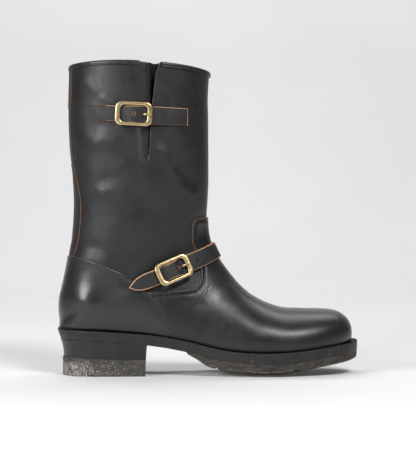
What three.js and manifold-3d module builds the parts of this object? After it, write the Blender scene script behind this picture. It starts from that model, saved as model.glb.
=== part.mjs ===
import * as THREE from "three";
import { mergeVertices } from "three/addons/utils/BufferGeometryUtils.js";
import Module from "manifold-3d";

// A right-foot engineer boot in millimetres: +X to the toe, +Y to the inner side, +Z up.
// The origin is the middle of the heel's resting face.
// Lengths are shares of LENGTH, heights are shares of HEIGHT and widths are shares of BALL.

const LENGTH = 310; // sole, from the heel seat's rear to the toe
const HEIGHT = 316; // floor to the highest point of the collar
const BALL = 108; // sole width across the ball of the foot
const REAR = -0.155 * LENGTH; // x of the heel seat's rear

const GAP = 0.3; // between pieces that meet
const WALL = 2.2; // leather of the shaft and lining together
const OVERLAY = 1.5; // leather of the vamp, counter and back stay
const STRAP = 1.9; // leather of the straps
const CHAPE = 1.2; // leather that holds a buckle's bar
const STRAP_OVER_VAMP = 0.75; // from the vamp to the instep strap above it
const STRAP_WIDTH = 18.4;

const WELT = 3.2;
const MIDSOLE = 6.9;
const INSOLE = 2.8;
const WELT_INSET = 16; // from the sole's edge to the inner edge of the welt
const INSOLE_INSET = 13; // from the sole's edge to the insole's edge
const MIDSOLE_INSET = 0.2; // of the midsole's top from the welt's edge
const MIDSOLE_DRAFT = 0.2; // how much further in its foot is
const HALF_SOLE_INSET = 0.6; // of the half sole's top from the welt's edge
const TREAD_INSET = 0.8;
const HEEL_BREAST = 0.295;
const HALF_SOLE_START = 0.425;
const LIFT_REAR = 19; // height of the heel's rubber at its rear
const LIFT_BREAST = 16.2;

const REACH = 400; // longer than the boot in any direction
const PAST = 10; // how far a cut runs past the collar

// Sections of the upper, from the toe to the collar. Each lies in a plane across the foot,
// from a top point on the front outline to a back point on the rear or bottom outline.
const SECTION_COLUMNS = [
  "topX", "topZ", "backX", "backZ", "outer", "inner", "ridge", "widest", "topForm", "backForm", "bow",
];
const SECTIONS = [
  [0.975, 0.1345, 0.975, 0.1345, -0.046, 0.046, 0, 0.45, 2.2, 2.2, 0],
  [0.970, 0.1575, 0.971, 0.1085, 0.098, 0.184, 0, 0.45, 2.2, 2.2, 0],
  [0.961, 0.1735, 0.962, 0.0905, 0.186, 0.266, 0, 0.45, 2.2, 2.2, 0],
  [0.945, 0.1875, 0.945, 0.0775, 0.260, 0.328, 0.005, 0.45, 2.2, 2.3, 0],
  [0.917, 0.1985, 0.917, 0.0625, 0.333, 0.381, 0.01, 0.45, 2.25, 2.4, 0],
  [0.872, 0.2025, 0.872, 0.0445, 0.396, 0.423, 0.02, 0.43, 2.3, 2.6, 0],
  [0.816, 0.2035, 0.816, 0.0295, 0.444, 0.443, 0.035, 0.42, 2.3, 2.8, 0],
  [0.749, 0.2085, 0.749, 0.0215, 0.473, 0.447, 0.05, 0.41, 2.2, 2.8, 0],
  [0.686, 0.2285, 0.679, 0.0215, 0.478, 0.424, 0.06, 0.39, 2.1, 2.8, 0],
  [0.633, 0.2565, 0.606, 0.0265, 0.457, 0.390, 0.065, 0.36, 2.0, 2.8, 0],
  [0.593, 0.2935, 0.523, 0.0395, 0.415, 0.352, 0.065, 0.34, 1.95, 2.8, 0],
  [0.561, 0.3325, 0.424, 0.0675, 0.367, 0.320, 0.06, 0.33, 1.95, 2.8, 0],
  [0.533, 0.3715, 0.307, 0.0945, 0.345, 0.313, 0.05, 0.34, 1.95, 2.8, 0],
  [0.513, 0.4125, 0.174, 0.1075, 0.342, 0.322, 0.04, 0.36, 2.0, 2.9, 0],
  [0.501, 0.4515, 0.031, 0.1235, 0.345, 0.334, 0.03, 0.36, 2.0, 2.8, 0],
  [0.496, 0.4845, 0.0145, 0.1785, 0.352, 0.343, 0.02, 0.40, 2.0, 2.5, 0],
  [0.495, 0.5175, 0.012, 0.2375, 0.363, 0.353, 0.01, 0.44, 2.05, 2.3, 0],
  [0.497, 0.5495, 0.026, 0.3025, 0.380, 0.370, 0, 0.47, 2.1, 2.2, 0],
  [0.499, 0.5855, 0.039, 0.3675, 0.394, 0.384, 0, 0.49, 2.15, 2.2, 0],
  [0.501, 0.6345, 0.053, 0.4515, 0.407, 0.398, 0, 0.5, 2.2, 2.2, 0],
  [0.501, 0.6935, 0.059, 0.5395, 0.426, 0.417, 0, 0.5, 2.2, 2.2, 0],
  [0.500, 0.7585, 0.055, 0.6345, 0.440, 0.430, 0, 0.5, 2.2, 2.2, 0],
  [0.500, 0.8305, 0.045, 0.7385, 0.454, 0.444, 0, 0.5, 2.2, 2.2, 0.002],
  [0.499, 0.9015, 0.041, 0.8495, 0.458, 0.449, 0, 0.5, 2.2, 2.2, 0.006],
  [0.503, 0.9735, 0.043, 0.9915, 0.463, 0.454, 0, 0.5, 2.2, 2.2, 0.013],
];
const COLLAR = SECTIONS.length - 1;

// The feather line, where the upper meets the welt: length and height.
const SEAT = [
  [0, 0.1506], [0.0175, 0.1487], [0.136, 0.1437], [0.27, 0.1342], [0.345, 0.125], [0.433, 0.1082],
  [0.535, 0.0848], [0.608, 0.0769], [0.688, 0.0747], [0.786, 0.0794], [0.89, 0.093], [0.972, 0.1025],
  [1, 0.107],
];

// The sole's edge seen from above: length, then how far the outer and inner sides reach.
const OUTLINE = [
  [0.003, 0.015, 0.015], [0.007, 0.095, 0.093], [0.018, 0.178, 0.174], [0.045, 0.268, 0.258],
  [0.1, 0.328, 0.314], [0.18, 0.343, 0.326], [0.27, 0.345, 0.32], [0.36, 0.351, 0.309], [0.45, 0.384, 0.308],
  [0.54, 0.45, 0.348], [0.62, 0.505, 0.41], [0.7, 0.53, 0.475], [0.78, 0.505, 0.49], [0.86, 0.445, 0.473],
  [0.92, 0.362, 0.425], [0.96, 0.266, 0.354], [0.985, 0.16, 0.268], [0.996, 0.07, 0.184], [1, -0.005, 0.1],
];
const SOLE_TIP = 0.999;

// The tread's middle line: length and height. The floor cuts off what would lie below it.
const TREAD = [
  [HALF_SOLE_START, 0.0712], [0.45, 0.0554], [0.475, 0.0364], [0.5, 0.0228], [0.53, 0.0146],
  [0.565, 0.007], [0.62, 0.0006], [0.655, -0.0028], [0.7, -0.0032], [0.745, -0.0016], [0.79, 0.0063],
  [0.86, 0.0177], [0.93, 0.0297], [0.97, 0.0386], [1, 0.0494],
];
const TREAD_CROWN = 6; // how far the tread's edge stands above its middle at the ball
const TREAD_FORM = 2.5; // power of the crown's rise towards the edge
const TREAD_FULL = 0.53; // length share where the crown is full
const TREAD_GROOVES = [0.525, 0.773];
const GROOVE_WIDTH = 3;
const GROOVE_DEPTH = 1.6; // above the tread halfway up its crown

// The heel's layers, from the floor up: how far each is drawn in at its rear, sides and breast.
const LIFT_FOOT = { rear: 5.2, side: 2, breast: 1.8 };
const LIFT_TOP = { rear: 5.4, side: 2, breast: 1.3 };
const STACK_FOOT = { rear: 6.3, side: 2.4, breast: 1.2 };
const STACK_MIDDLE = { rear: 5.6, side: 2.1, breast: 0.8 };
const STACK_TOP = { rear: 3.1, side: 1, breast: 0.2 };

// Edges of the overlays seen from the side: length and height.
const COUNTER_EDGE = [
  [-0.05, 0.3835], [0.034, 0.3835], [0.07, 0.3785], [0.104, 0.3686], [0.141, 0.358], [0.181, 0.34],
  [0.211, 0.327], [0.233, 0.311], [0.271, 0.2875], [0.303, 0.263], [0.321, 0.2385], [0.336, 0.2125],
  [0.345, 0.1955], [0.359, 0.1615], [0.368, 0.129], [0.372, 0.1],
];
const VAMP_EDGE = [
  [0.29, 0.264], [0.368, 0.27], [0.438, 0.275], [0.459, 0.284], [0.47, 0.308], [0.47, 0.337],
  [0.465, 0.369], [0.454, 0.4], [0.443, 0.426], [0.44, 0.455], [0.442, 0.483], [0.452, 0.5],
  [0.47, 0.506], [0.497, 0.5073], [0.56, 0.5075],
];
const STAY_EDGE = [
  [0.055, 0.37], [0.0596, 0.385], [0.0776, 0.465], [0.0825, 0.5445], [0.071, 0.6185], [0.054, 0.7055],
  [0.048, 0.8015], [0.0495, 0.8815], [0.053, 0.97], [0.053, 1],
];
const BINDING_WIDTH = 3.6;
const BINDING = 0.9;

// The slit of the shaft's outer side, and the two slots that the top strap's parts come out of.
const SLIT = [
  [0.27, 1.02], [0.272, 0.984], [0.293, 0.9645], [0.294, 0.8735], [0.295, 0.7885], [0.2975, 0.7025],
  [0.2986, 0.685], [0.3, 0.7025], [0.304, 0.7885], [0.3116, 0.872], [0.3225, 0.9625], [0.3347, 0.992],
  [0.337, 1.02],
];
const GUSSET_LEFT = 0.262;
const GUSSET_RIGHT = 0.345;
const GUSSET_FOOT = 0.66;
const GUSSET_WALL = 0.9;
const STRAP_SLOTS = [
  { x: 0.189, low: 0.8, high: 0.869 },
  { x: 0.4275, low: 0.793, high: 0.853 },
];
const SLOT_WIDTH = 1.2;

// Outlines of the straps and of the parts that hold their buckles, seen from the side.
const TOP_STRAP_OUTLINE = [
  [0.0863, 0.8385], [0.0985, 0.852], [0.114, 0.8605], [0.1875, 0.8553], [0.3087, 0.8524],
  [0.4235, 0.8496], [0.4235, 0.7957], [0.3088, 0.7966], [0.1875, 0.8067], [0.112, 0.8117],
  [0.0965, 0.8235],
];
const TOP_CHAPE_OUTLINE = [[0.192, 0.853], [0.262, 0.852], [0.262, 0.806], [0.192, 0.808]];
const INSTEP_STRAP_TOP = [
  [0.2342, 0.2817], [0.2519, 0.307], [0.2777, 0.3257], [0.3247, 0.3435], [0.4152, 0.381],
  [0.465, 0.4007], [0.5062, 0.421], [0.532, 0.4307], [0.58, 0.446],
];
const INSTEP_STRAP_FOOT = [
  [0.58, 0.398], [0.5475, 0.3825], [0.5098, 0.3616], [0.4525, 0.3353], [0.401, 0.3155],
  [0.3358, 0.2907], [0.2873, 0.2742], [0.2551, 0.2735],
];
const INSTEP_STRAP_END = 0.33; // where the strap stops on the inner side
const INSTEP_CHAPE_OUTLINE = [[0.305, 0.323], [0.397, 0.357], [0.403, 0.328], [0.318, 0.297]];

// Both buckles: a frame with a middle bar below it, and a prong.
const BUCKLE_WINDOW = 24.4;
const BUCKLE_RAIL = 3.1; // the frame's sides along the strap
const BUCKLE_BAR = 6.2; // the frame's ends across the strap
const BUCKLE_DEPTH = 2.6;
const BUCKLE_CORNER = 5.5;
const HINGE_WIDTH = 1.8;
const HINGE_DEPTH = 1.4;
const HINGE_DROP = 1.5; // from the frame's underside to the middle bar's
const PRONG_WIDTH = 2.4;
const PRONG_DEPTH = 1.7;
const PRONG_REACH = 18;
const STRAP_ARCH = 11; // half the length over which the strap rises above the middle bar
const ARCH_CLEAR = 1.3; // from the middle bar to the strap above it
const SIDE_CLEAR = 0.5; // from the strap's edge to the frame
const PRONG_NOSE = 1; // length of the prong's bevelled end

// Where each buckle's middle lies on the upper, its rise towards the toe, how far it and its strap
// stand off, and over which lengths beside the buckle the strap comes up from the upper and goes back.
const TOP_BUCKLE = {
  section: 22.5, angle: -1.64, slope: -0.055, lift: 3.7, strapLift: 1.9,
  riseFrom: -36, riseTo: -22, fallFrom: 22, fallTo: 34,
};
const INSTEP_BUCKLE = {
  section: 13.5, angle: -1.03, slope: 0.425, lift: 7.2, strapLift: 3.9,
  riseFrom: -46, riseTo: -30, fallFrom: 20, fallTo: 34,
};

// Sections between which each overlay and strap is made, and the steps between them.
const COUNTER_SECTIONS = { from: 9, to: 20, steps: 11 };
const STAY_SECTIONS = { from: 16, to: COLLAR, steps: 8 };
const BINDING_SECTIONS = { from: 20, to: COLLAR, steps: 4 };
const GUSSET_SECTIONS = { from: 19, to: COLLAR, steps: 5 };
const TOP_STRAP_SECTIONS = { from: 21, to: 23.6, steps: 6 };
const INSTEP_STRAP_SECTIONS = { from: 10.5, to: 16, steps: 14 };
const VAMP_TOP_SECTION = 18;
const TOE_SECTION = 0.5; // the first section after the toe's point

const wasm = await Module();
wasm.setup();

function ease(low, high, value) {
  const share = Math.min(1, Math.max(0, (value - low) / (high - low)));
  return share * share * (3 - 2 * share);
}

// One smooth value between four neighbours, at a share of the way from the second to the third.
function throughPoints(before, from, to, after, share) {
  const slope = to - before;
  const bend = 2 * before - 5 * from + 4 * to - after;
  const turn = 3 * (from - to) + after - before;
  return from + 0.5 * share * (slope + share * (bend + share * turn));
}

// Every column of the section table at a place between two of its rows.
function sectionAt(place) {
  const held = Math.min(Math.max(place, 0), COLLAR);
  const row = Math.min(Math.floor(held), COLLAR - 1);
  const share = held - row;
  const values = {};
  SECTION_COLUMNS.forEach((name, column) => {
    const from = SECTIONS[row][column];
    const to = SECTIONS[row + 1][column];
    const before = row > 0 ? SECTIONS[row - 1][column] : 2 * from - to;
    const after = row + 2 <= COLLAR ? SECTIONS[row + 2][column] : 2 * to - from;
    values[name] = throughPoints(before, from, to, after, share);
  });
  return values;
}

// A table's column at a length share, with the rows' slopes taken from their neighbours.
function columnAt(table, column, share) {
  const last = table.length - 1;
  const held = Math.min(Math.max(share, table[0][0]), table[last][0]);
  let row = 0;
  while (row < last - 1 && table[row + 1][0] < held) {
    row += 1;
  }
  const slopeAt = (at) => {
    const low = Math.max(at - 1, 0);
    const high = Math.min(at + 1, last);
    return (table[high][column] - table[low][column]) / (table[high][0] - table[low][0]);
  };
  const width = table[row + 1][0] - table[row][0];
  const along = (held - table[row][0]) / width;
  const from = table[row][column];
  const to = table[row + 1][column];
  const square = along * along;
  const cube = square * along;
  return (
    (2 * cube - 3 * square + 1) * from +
    (cube - 2 * square + along) * width * slopeAt(row) +
    (3 * square - 2 * cube) * to +
    (cube - square) * width * slopeAt(row + 1)
  );
}

const lengthOf = (share) => REAR + LENGTH * share;
const shareOf = (x) => (x - REAR) / LENGTH;
const seatAt = (x) => HEIGHT * columnAt(SEAT, 1, shareOf(x));

function spread(low, high, count) {
  return Array.from({ length: count + 1 }, (_, i) => low + ((high - low) * i) / count);
}

const sectionsOf = ({ from, to, steps }) => spread(from, to, steps);

// The angle runs round the section: 0 at its top, a quarter turn at the inner side.
function surfacePoint(place, angle) {
  const s = sectionAt(place);
  const cos = Math.cos(angle);
  const sin = Math.sin(angle);
  const form = cos > 0 ? s.topForm : s.backForm;
  const along = Math.sign(cos) * Math.abs(cos) ** (2 / form);
  const across = Math.sign(sin) * Math.abs(sin) ** (2 / form);
  const share = cos > 0 ? s.widest + (1 - s.widest) * along : s.widest * (1 + along);
  const rise = Math.max(0, (share - s.widest) / (1 - s.widest));
  return new THREE.Vector3(
    lengthOf(s.backX + share * (s.topX - s.backX)),
    BALL * ((s.inner - s.outer) / 2 + ((s.inner + s.outer) / 2) * across + s.ridge * rise ** 2),
    HEIGHT * (s.backZ + share * (s.topZ - s.backZ) + s.bow * sin * sin),
  );
}

function surfaceNormal(place, angle) {
  const step = 0.001;
  const stride = 5 * step;
  const along = surfacePoint(Math.min(place + stride, COLLAR), angle);
  along.sub(surfacePoint(Math.max(place - stride, 0), angle));
  const round = surfacePoint(place, angle + step).sub(surfacePoint(place, angle - step));
  return round.cross(along).normalize();
}

// The surface moved outwards by a lift, which is a number or a function of the point.
function liftedPoint(place, angle, lift) {
  const point = surfacePoint(place, angle);
  const amount = typeof lift === "function" ? lift(point) : lift;
  return point.addScaledVector(surfaceNormal(place, angle), amount);
}

function geometryOf(points, triangles) {
  const geometry = new THREE.BufferGeometry();
  const flat = points.flatMap((p) => [p.x, p.y, p.z]);
  geometry.setAttribute("position", new THREE.Float32BufferAttribute(flat, 3));
  geometry.setIndex(triangles);
  return geometry;
}

function solidOf(geometry) {
  const bare = new THREE.BufferGeometry();
  const source = geometry.index ? geometry.toNonIndexed() : geometry;
  bare.setAttribute("position", source.getAttribute("position"));
  const merged = mergeVertices(bare, 1e-3);
  const mesh = new wasm.Mesh({
    numProp: 3,
    vertProperties: merged.attributes.position.array,
    triVerts: new Uint32Array(merged.index.array),
  });
  return new wasm.Manifold(mesh);
}

// Rings of points joined into a closed body, with a middle point closing each end.
function ringBody(rings, startMiddle, endMiddle) {
  const size = rings[0].length;
  const points = rings.flat();
  const triangles = [];
  for (let ring = 0; ring + 1 < rings.length; ring += 1) {
    for (let i = 0; i < size; i += 1) {
      const next = (i + 1) % size;
      const a = ring * size + i;
      const b = ring * size + next;
      triangles.push(a, b, b + size, a, b + size, a + size);
    }
  }
  const start = points.push(startMiddle) - 1;
  const end = points.push(endMiddle) - 1;
  const base = (rings.length - 1) * size;
  for (let i = 0; i < size; i += 1) {
    const next = (i + 1) % size;
    triangles.push(start, next, i);
    triangles.push(end, base + i, base + next);
  }
  return solidOf(geometryOf(points, triangles));
}

function middleOf(ring) {
  const sum = new THREE.Vector3();
  ring.forEach((p) => sum.add(p));
  return sum.divideScalar(ring.length);
}

// The toe's foremost point, moved forwards by a lift.
function toePoint(lift) {
  const point = surfacePoint(0, 0);
  point.x += typeof lift === "function" ? lift(point) : lift;
  return point;
}

// The body inside the lifted surface between the first and the last place, with its last section
// repeated higher up where it has to run past the collar.
function skinBody(places, angles, lift, rise = 0) {
  const rings = places.map((place) => angles.map((angle) => liftedPoint(place, angle, lift)));
  if (rise > 0) {
    const last = rings[rings.length - 1];
    rings.push(last.map((p) => new THREE.Vector3(p.x, p.y, p.z + rise)));
  }
  const start = places[0] < 1 ? toePoint(lift) : middleOf(rings[0]);
  return ringBody(rings, start, middleOf(rings[rings.length - 1]));
}

// A prism across the boot from an outline in the side view, given as x and z in millimetres.
function sidePrism(outline, low, high) {
  const shape = new THREE.Shape(outline.map(([x, z]) => new THREE.Vector2(x, z)));
  const geometry = new THREE.ExtrudeGeometry(shape, { depth: high - low, bevelEnabled: false });
  geometry.rotateX(Math.PI / 2);
  geometry.translate(0, high, 0);
  return solidOf(geometry);
}

function inMillimetres(table) {
  return table.map(([x, z]) => [lengthOf(x), HEIGHT * z]);
}

// A smooth line through a table's points, in millimetres.
function smoothLine(table, count) {
  const points = inMillimetres(table).map(([x, z]) => new THREE.Vector2(x, z));
  return new THREE.SplineCurve(points).getPoints(count).map((p) => [p.x, p.y]);
}

// A line moved sideways, to its left as it is followed.
function besideLine(line, distance) {
  return line.map(([x, z], i) => {
    const [fromX, fromZ] = line[Math.max(i - 1, 0)];
    const [toX, toZ] = line[Math.min(i + 1, line.length - 1)];
    const size = Math.hypot(toX - fromX, toZ - fromZ);
    return [x - (distance * (toZ - fromZ)) / size, z + (distance * (toX - fromX)) / size];
  });
}

// The feather line from one length to another, raised by a height.
function seatLine(from, to, height, count) {
  return spread(from, to, count).map((share) => [lengthOf(share), seatAt(lengthOf(share)) + height]);
}

// A plate under the boot. Each layer gives, for a length share, its x, its two edges and its height
// at a share across from -1 to 1. The first layer is the bottom and the last is the top.
function plate(shares, layers, columns) {
  const points = [];
  const triangles = [];
  const wide = columns.length;
  const layerSize = shares.length * wide;
  const at = (layer, i, j) => layer * layerSize + i * wide + j;
  const quad = (a, b, c, d) => triangles.push(a, b, c, a, c, d);
  layers.forEach((layer) => {
    shares.forEach((share) => {
      const { x, outer, inner, height } = layer(share);
      columns.forEach((across) => {
        const y = (inner + outer) / 2 + ((inner - outer) / 2) * across;
        points.push(new THREE.Vector3(x, y, height(across)));
      });
    });
  });
  const top = layers.length - 1;
  const end = shares.length - 1;
  for (let i = 0; i < end; i += 1) {
    for (let j = 0; j + 1 < wide; j += 1) {
      quad(at(top, i, j), at(top, i + 1, j), at(top, i + 1, j + 1), at(top, i, j + 1));
      quad(at(0, i, j), at(0, i, j + 1), at(0, i + 1, j + 1), at(0, i + 1, j));
    }
  }
  for (let k = 0; k < top; k += 1) {
    for (let i = 0; i < end; i += 1) {
      quad(at(k, i, 0), at(k, i + 1, 0), at(k + 1, i + 1, 0), at(k + 1, i, 0));
      quad(at(k, i + 1, wide - 1), at(k, i, wide - 1), at(k + 1, i, wide - 1), at(k + 1, i + 1, wide - 1));
    }
    for (let j = 0; j + 1 < wide; j += 1) {
      quad(at(k, 0, j + 1), at(k, 0, j), at(k + 1, 0, j), at(k + 1, 0, j + 1));
      quad(at(k, end, j), at(k, end, j + 1), at(k + 1, end, j + 1), at(k + 1, end, j));
    }
  }
  return solidOf(geometryOf(points, triangles));
}

// The sole's edge at a length share, drawn in from its sides and its two ends.
function soleEdge(share, inset, rearInset = inset) {
  const outer = -BALL * columnAt(OUTLINE, 1, share);
  const inner = BALL * columnAt(OUTLINE, 2, share);
  const middle = (outer + inner) / 2;
  const narrowing = 1 - inset / (BALL / 2);
  const frontShare = Math.min(1, Math.max(0, share));
  return {
    x: lengthOf(share) + rearInset * (1 - frontShare) - inset * frontShare,
    outer: middle + (outer - middle) * narrowing,
    inner: middle + (inner - middle) * narrowing,
  };
}

// A layer that keeps a distance below the feather line.
function seatLayer(drop, inset) {
  return (share) => {
    const edge = soleEdge(share, inset);
    const height = seatAt(edge.x) - drop;
    return { ...edge, height: () => height };
  };
}

const TIP_SHARES = [0.945, 0.965, 0.983, 0.993, SOLE_TIP];
const SOLE_SHARES = [0.003, 0.007, 0.018, 0.045, ...spread(0.1, 0.92, 20), ...TIP_SHARES];
const EDGES_ONLY = [-1, 1];

const RING = spread(-Math.PI, Math.PI, 30).slice(0, -1);
const UPPER_PLACES = [TOE_SECTION, ...spread(1, COLLAR, COLLAR - 1)];
const belowSeat = (height) => {
  const line = seatLine(-0.1, 1.1, height, 40);
  return sidePrism([...line, [REACH, -REACH], [-REACH, -REACH]], -REACH, REACH);
};
const soleCut = belowSeat(GAP);
const outside = skinBody(UPPER_PLACES, RING, 0);
const inside = skinBody(UPPER_PLACES, RING, -WALL, PAST);
const slitCut = sidePrism(inMillimetres(SLIT), -REACH, 0);
const slotCuts = STRAP_SLOTS.map(({ x, low, high }) => {
  const left = lengthOf(x) - SLOT_WIDTH / 2;
  const right = lengthOf(x) + SLOT_WIDTH / 2;
  const foot = HEIGHT * low;
  const top = HEIGHT * high;
  return sidePrism([[left, foot], [right, foot], [right, top], [left, top]], -REACH, 0);
});
let upper = outside.subtract(inside).subtract(soleCut).subtract(slitCut);
slotCuts.forEach((cut) => {
  upper = upper.subtract(cut);
});

function overlay(places, outline) {
  const shell = skinBody(places, RING, GAP + OVERLAY).subtract(skinBody(places, RING, GAP));
  return shell.intersect(sidePrism(outline, -REACH, REACH));
}

const counterEdge = smoothLine(COUNTER_EDGE, 26);
const vampEdge = smoothLine(VAMP_EDGE, 30);
const stayEdge = smoothLine(STAY_EDGE, 16);

// The part of the side view below and behind a falling line.
function behindLine(line) {
  const first = line[0];
  const last = line[line.length - 1];
  return [...line, [last[0], -REACH], [-REACH, -REACH], [-REACH, first[1]]];
}

const besideCounter = sidePrism(behindLine(besideLine(counterEdge, GAP)), -REACH, REACH);
const counter = overlay(sectionsOf(COUNTER_SECTIONS), behindLine(counterEdge)).subtract(soleCut);

const vampTop = vampEdge[vampEdge.length - 1][1];
const vampOutline = [...vampEdge, [REACH, vampTop], [REACH, -REACH], [vampEdge[0][0], -REACH]];
const vampPlaces = [TOE_SECTION, ...spread(1, VAMP_TOP_SECTION, VAMP_TOP_SECTION - 1)];
const vamp = overlay(vampPlaces, vampOutline).subtract(besideCounter).subtract(soleCut);

// The collar's outline seen from the side, and the same line a binding's width lower.
const rimLine = spread(Math.PI, 0, 12).map((angle) => {
  const point = surfacePoint(COLLAR, angle);
  return [point.x, point.z];
});
const rimBody = (drop) => {
  const ends = [[-REACH, rimLine[0][1]], ...rimLine, [REACH, rimLine[rimLine.length - 1][1]]];
  const outline = [...ends.map(([x, z]) => [x, z - drop]), [REACH, REACH], [-REACH, REACH]];
  return sidePrism(outline, -REACH, REACH);
};
const bindingPlaces = sectionsOf(BINDING_SECTIONS);
const bindingShell = skinBody(bindingPlaces, RING, GAP + BINDING)
  .subtract(skinBody(bindingPlaces, RING, GAP, PAST));
const topBinding = bindingShell.intersect(rimBody(BINDING_WIDTH)).subtract(slitCut);

const stayTop = stayEdge[stayEdge.length - 1][0];
const stayOutline = [...stayEdge, [stayTop, REACH], [-REACH, REACH], [-REACH, stayEdge[0][1]]];
const backStay = overlay(sectionsOf(STAY_SECTIONS), stayOutline)
  .subtract(besideCounter)
  .subtract(rimBody(BINDING_WIDTH + GAP));

// The gusset closes the slit from inside.
const gussetOutline = inMillimetres([
  [GUSSET_LEFT, GUSSET_FOOT], [GUSSET_RIGHT, GUSSET_FOOT], [GUSSET_RIGHT, 1.1], [GUSSET_LEFT, 1.1],
]);
const gussetPlaces = sectionsOf(GUSSET_SECTIONS);
const gusset = skinBody(gussetPlaces, RING, -WALL - GAP)
  .subtract(skinBody(gussetPlaces, RING, -WALL - GAP - GUSSET_WALL, PAST))
  .intersect(sidePrism(gussetOutline, -REACH, 0));

// A buckle's own frame: along the strap, across it, and out of the boot.
function buckleFrame({ section, angle, slope, lift }) {
  const out = surfaceNormal(section, angle);
  const along = new THREE.Vector3(1, -(out.x + out.z * slope) / out.y, slope).normalize();
  const across = new THREE.Vector3().crossVectors(out, along);
  const middle = surfacePoint(section, angle).addScaledVector(out, lift);
  return new THREE.Matrix4().makeBasis(along, across, out).setPosition(middle);
}

const WINDOW_HEIGHT = STRAP_WIDTH + 2 * SIDE_CLEAR;

function roundedRectangle(target, width, height, corner) {
  const x = width / 2;
  const y = height / 2;
  target.moveTo(-x + corner, -y);
  target.lineTo(x - corner, -y);
  target.quadraticCurveTo(x, -y, x, -y + corner);
  target.lineTo(x, y - corner);
  target.quadraticCurveTo(x, y, x - corner, y);
  target.lineTo(-x + corner, y);
  target.quadraticCurveTo(-x, y, -x, y - corner);
  target.lineTo(-x, -y + corner);
  target.quadraticCurveTo(-x, -y, -x + corner, -y);
  return target;
}

function boxSolid(low, high) {
  const size = high.map((value, i) => value - low[i]);
  const geometry = new THREE.BoxGeometry(...size);
  geometry.translate(...low.map((value, i) => value + size[i] / 2));
  return solidOf(geometry);
}

function buckleSolid(frame) {
  const width = BUCKLE_WINDOW + 2 * BUCKLE_BAR;
  const height = WINDOW_HEIGHT + 2 * BUCKLE_RAIL;
  const shape = roundedRectangle(new THREE.Shape(), width, height, BUCKLE_CORNER);
  shape.holes.push(roundedRectangle(new THREE.Path(), BUCKLE_WINDOW, WINDOW_HEIGHT, BUCKLE_CORNER / 2));
  const options = { depth: BUCKLE_DEPTH, bevelEnabled: false, curveSegments: 5 };
  const ring = new THREE.ExtrudeGeometry(shape, options);
  const reach = height / 2 - BUCKLE_RAIL / 4;
  const half = HINGE_WIDTH / 2;
  const bar = boxSolid([-half, -reach, -HINGE_DROP], [half, reach, HINGE_DEPTH - HINGE_DROP]);
  let solid = solidOf(ring).add(bar);
  [-1, 1].forEach((side) => {
    const edges = [(side * WINDOW_HEIGHT) / 2, side * reach].sort((a, b) => a - b);
    solid = solid.add(boxSolid([-half, edges[0], -HINGE_DROP], [half, edges[1], BUCKLE_DEPTH / 2]));
  });
  return solid.transform(frame.toArray());
}

// The prong rises from beside the middle bar through the strap and lies on the far bar.
function prongSolid(frame) {
  const start = HINGE_WIDTH / 2 + GAP;
  const rest = BUCKLE_DEPTH + GAP;
  const barEdge = BUCKLE_WINDOW / 2;
  const shape = new THREE.Shape([
    new THREE.Vector2(start, -HINGE_DROP),
    new THREE.Vector2(start + PRONG_DEPTH, -HINGE_DROP),
    new THREE.Vector2(barEdge - GAP, rest - GAP),
    new THREE.Vector2(barEdge + GAP, rest),
    new THREE.Vector2(PRONG_REACH, rest),
    new THREE.Vector2(PRONG_REACH, rest + PRONG_DEPTH / 2),
    new THREE.Vector2(PRONG_REACH - PRONG_NOSE, rest + PRONG_DEPTH),
    new THREE.Vector2(barEdge - 2 * GAP, rest + PRONG_DEPTH),
    new THREE.Vector2(start, 0),
  ]);
  const geometry = new THREE.ExtrudeGeometry(shape, { depth: PRONG_WIDTH, bevelEnabled: false });
  geometry.rotateX(Math.PI / 2);
  geometry.translate(0, PRONG_WIDTH / 2, 0);
  return solidOf(geometry).transform(frame.toArray());
}

// The hole that the prong takes through the strap.
function prongHole(frame) {
  const side = PRONG_WIDTH / 2 + GAP;
  const low = [HINGE_WIDTH / 2, -side, -PAST];
  const high = [BUCKLE_WINDOW / 2 + GAP, side, PAST];
  return boxSolid(low, high).transform(frame.toArray());
}

const topFrame = buckleFrame(TOP_BUCKLE);
const instepFrame = buckleFrame(INSTEP_BUCKLE);
const topBuckle = buckleSolid(topFrame);
const instepBuckle = buckleSolid(instepFrame);
const topProng = prongSolid(topFrame);
const instepProng = prongSolid(instepFrame);

// How far a strap stands off: it lies low at its ends, clears the chape and rises over the bar.
function strapLift(buckle, frame, low) {
  const back = frame.clone().invert();
  const rise = buckle.lift - HINGE_DROP + HINGE_DEPTH + ARCH_CLEAR - buckle.strapLift;
  return (point) => {
    const along = point.clone().applyMatrix4(back).x;
    const fall = ease(buckle.fallFrom, buckle.fallTo, along);
    const raised = ease(buckle.riseFrom, buckle.riseTo, along) * (1 - fall);
    const overBar = Math.abs(along) < STRAP_ARCH;
    const arch = overBar ? (1 + Math.cos((Math.PI * along) / STRAP_ARCH)) / 2 : 0;
    return low + (buckle.strapLift - low) * raised + arch * rise;
  };
}

function strapSolid(places, angles, lift, thickness, outline, low, high) {
  const outer = skinBody(places, angles, (point) => lift(point) + thickness);
  const inner = skinBody(places, angles, lift);
  return outer.subtract(inner).intersect(sidePrism(outline, low, high));
}

const topPlaces = sectionsOf(TOP_STRAP_SECTIONS);
const topAngles = [...spread(-2.75, -0.6, 30), ...spread(-0.4, 3.2, 8)];
const topLift = strapLift(TOP_BUCKLE, topFrame, GAP);
const topOutline = inMillimetres(TOP_STRAP_OUTLINE);
const topStrap = strapSolid(topPlaces, topAngles, topLift, STRAP, topOutline, -REACH, 0)
  .subtract(prongHole(topFrame));
const topChape = strapSolid(
  topPlaces, topAngles, () => GAP, CHAPE - GAP, inMillimetres(TOP_CHAPE_OUTLINE), -REACH, 0,
);

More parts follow.
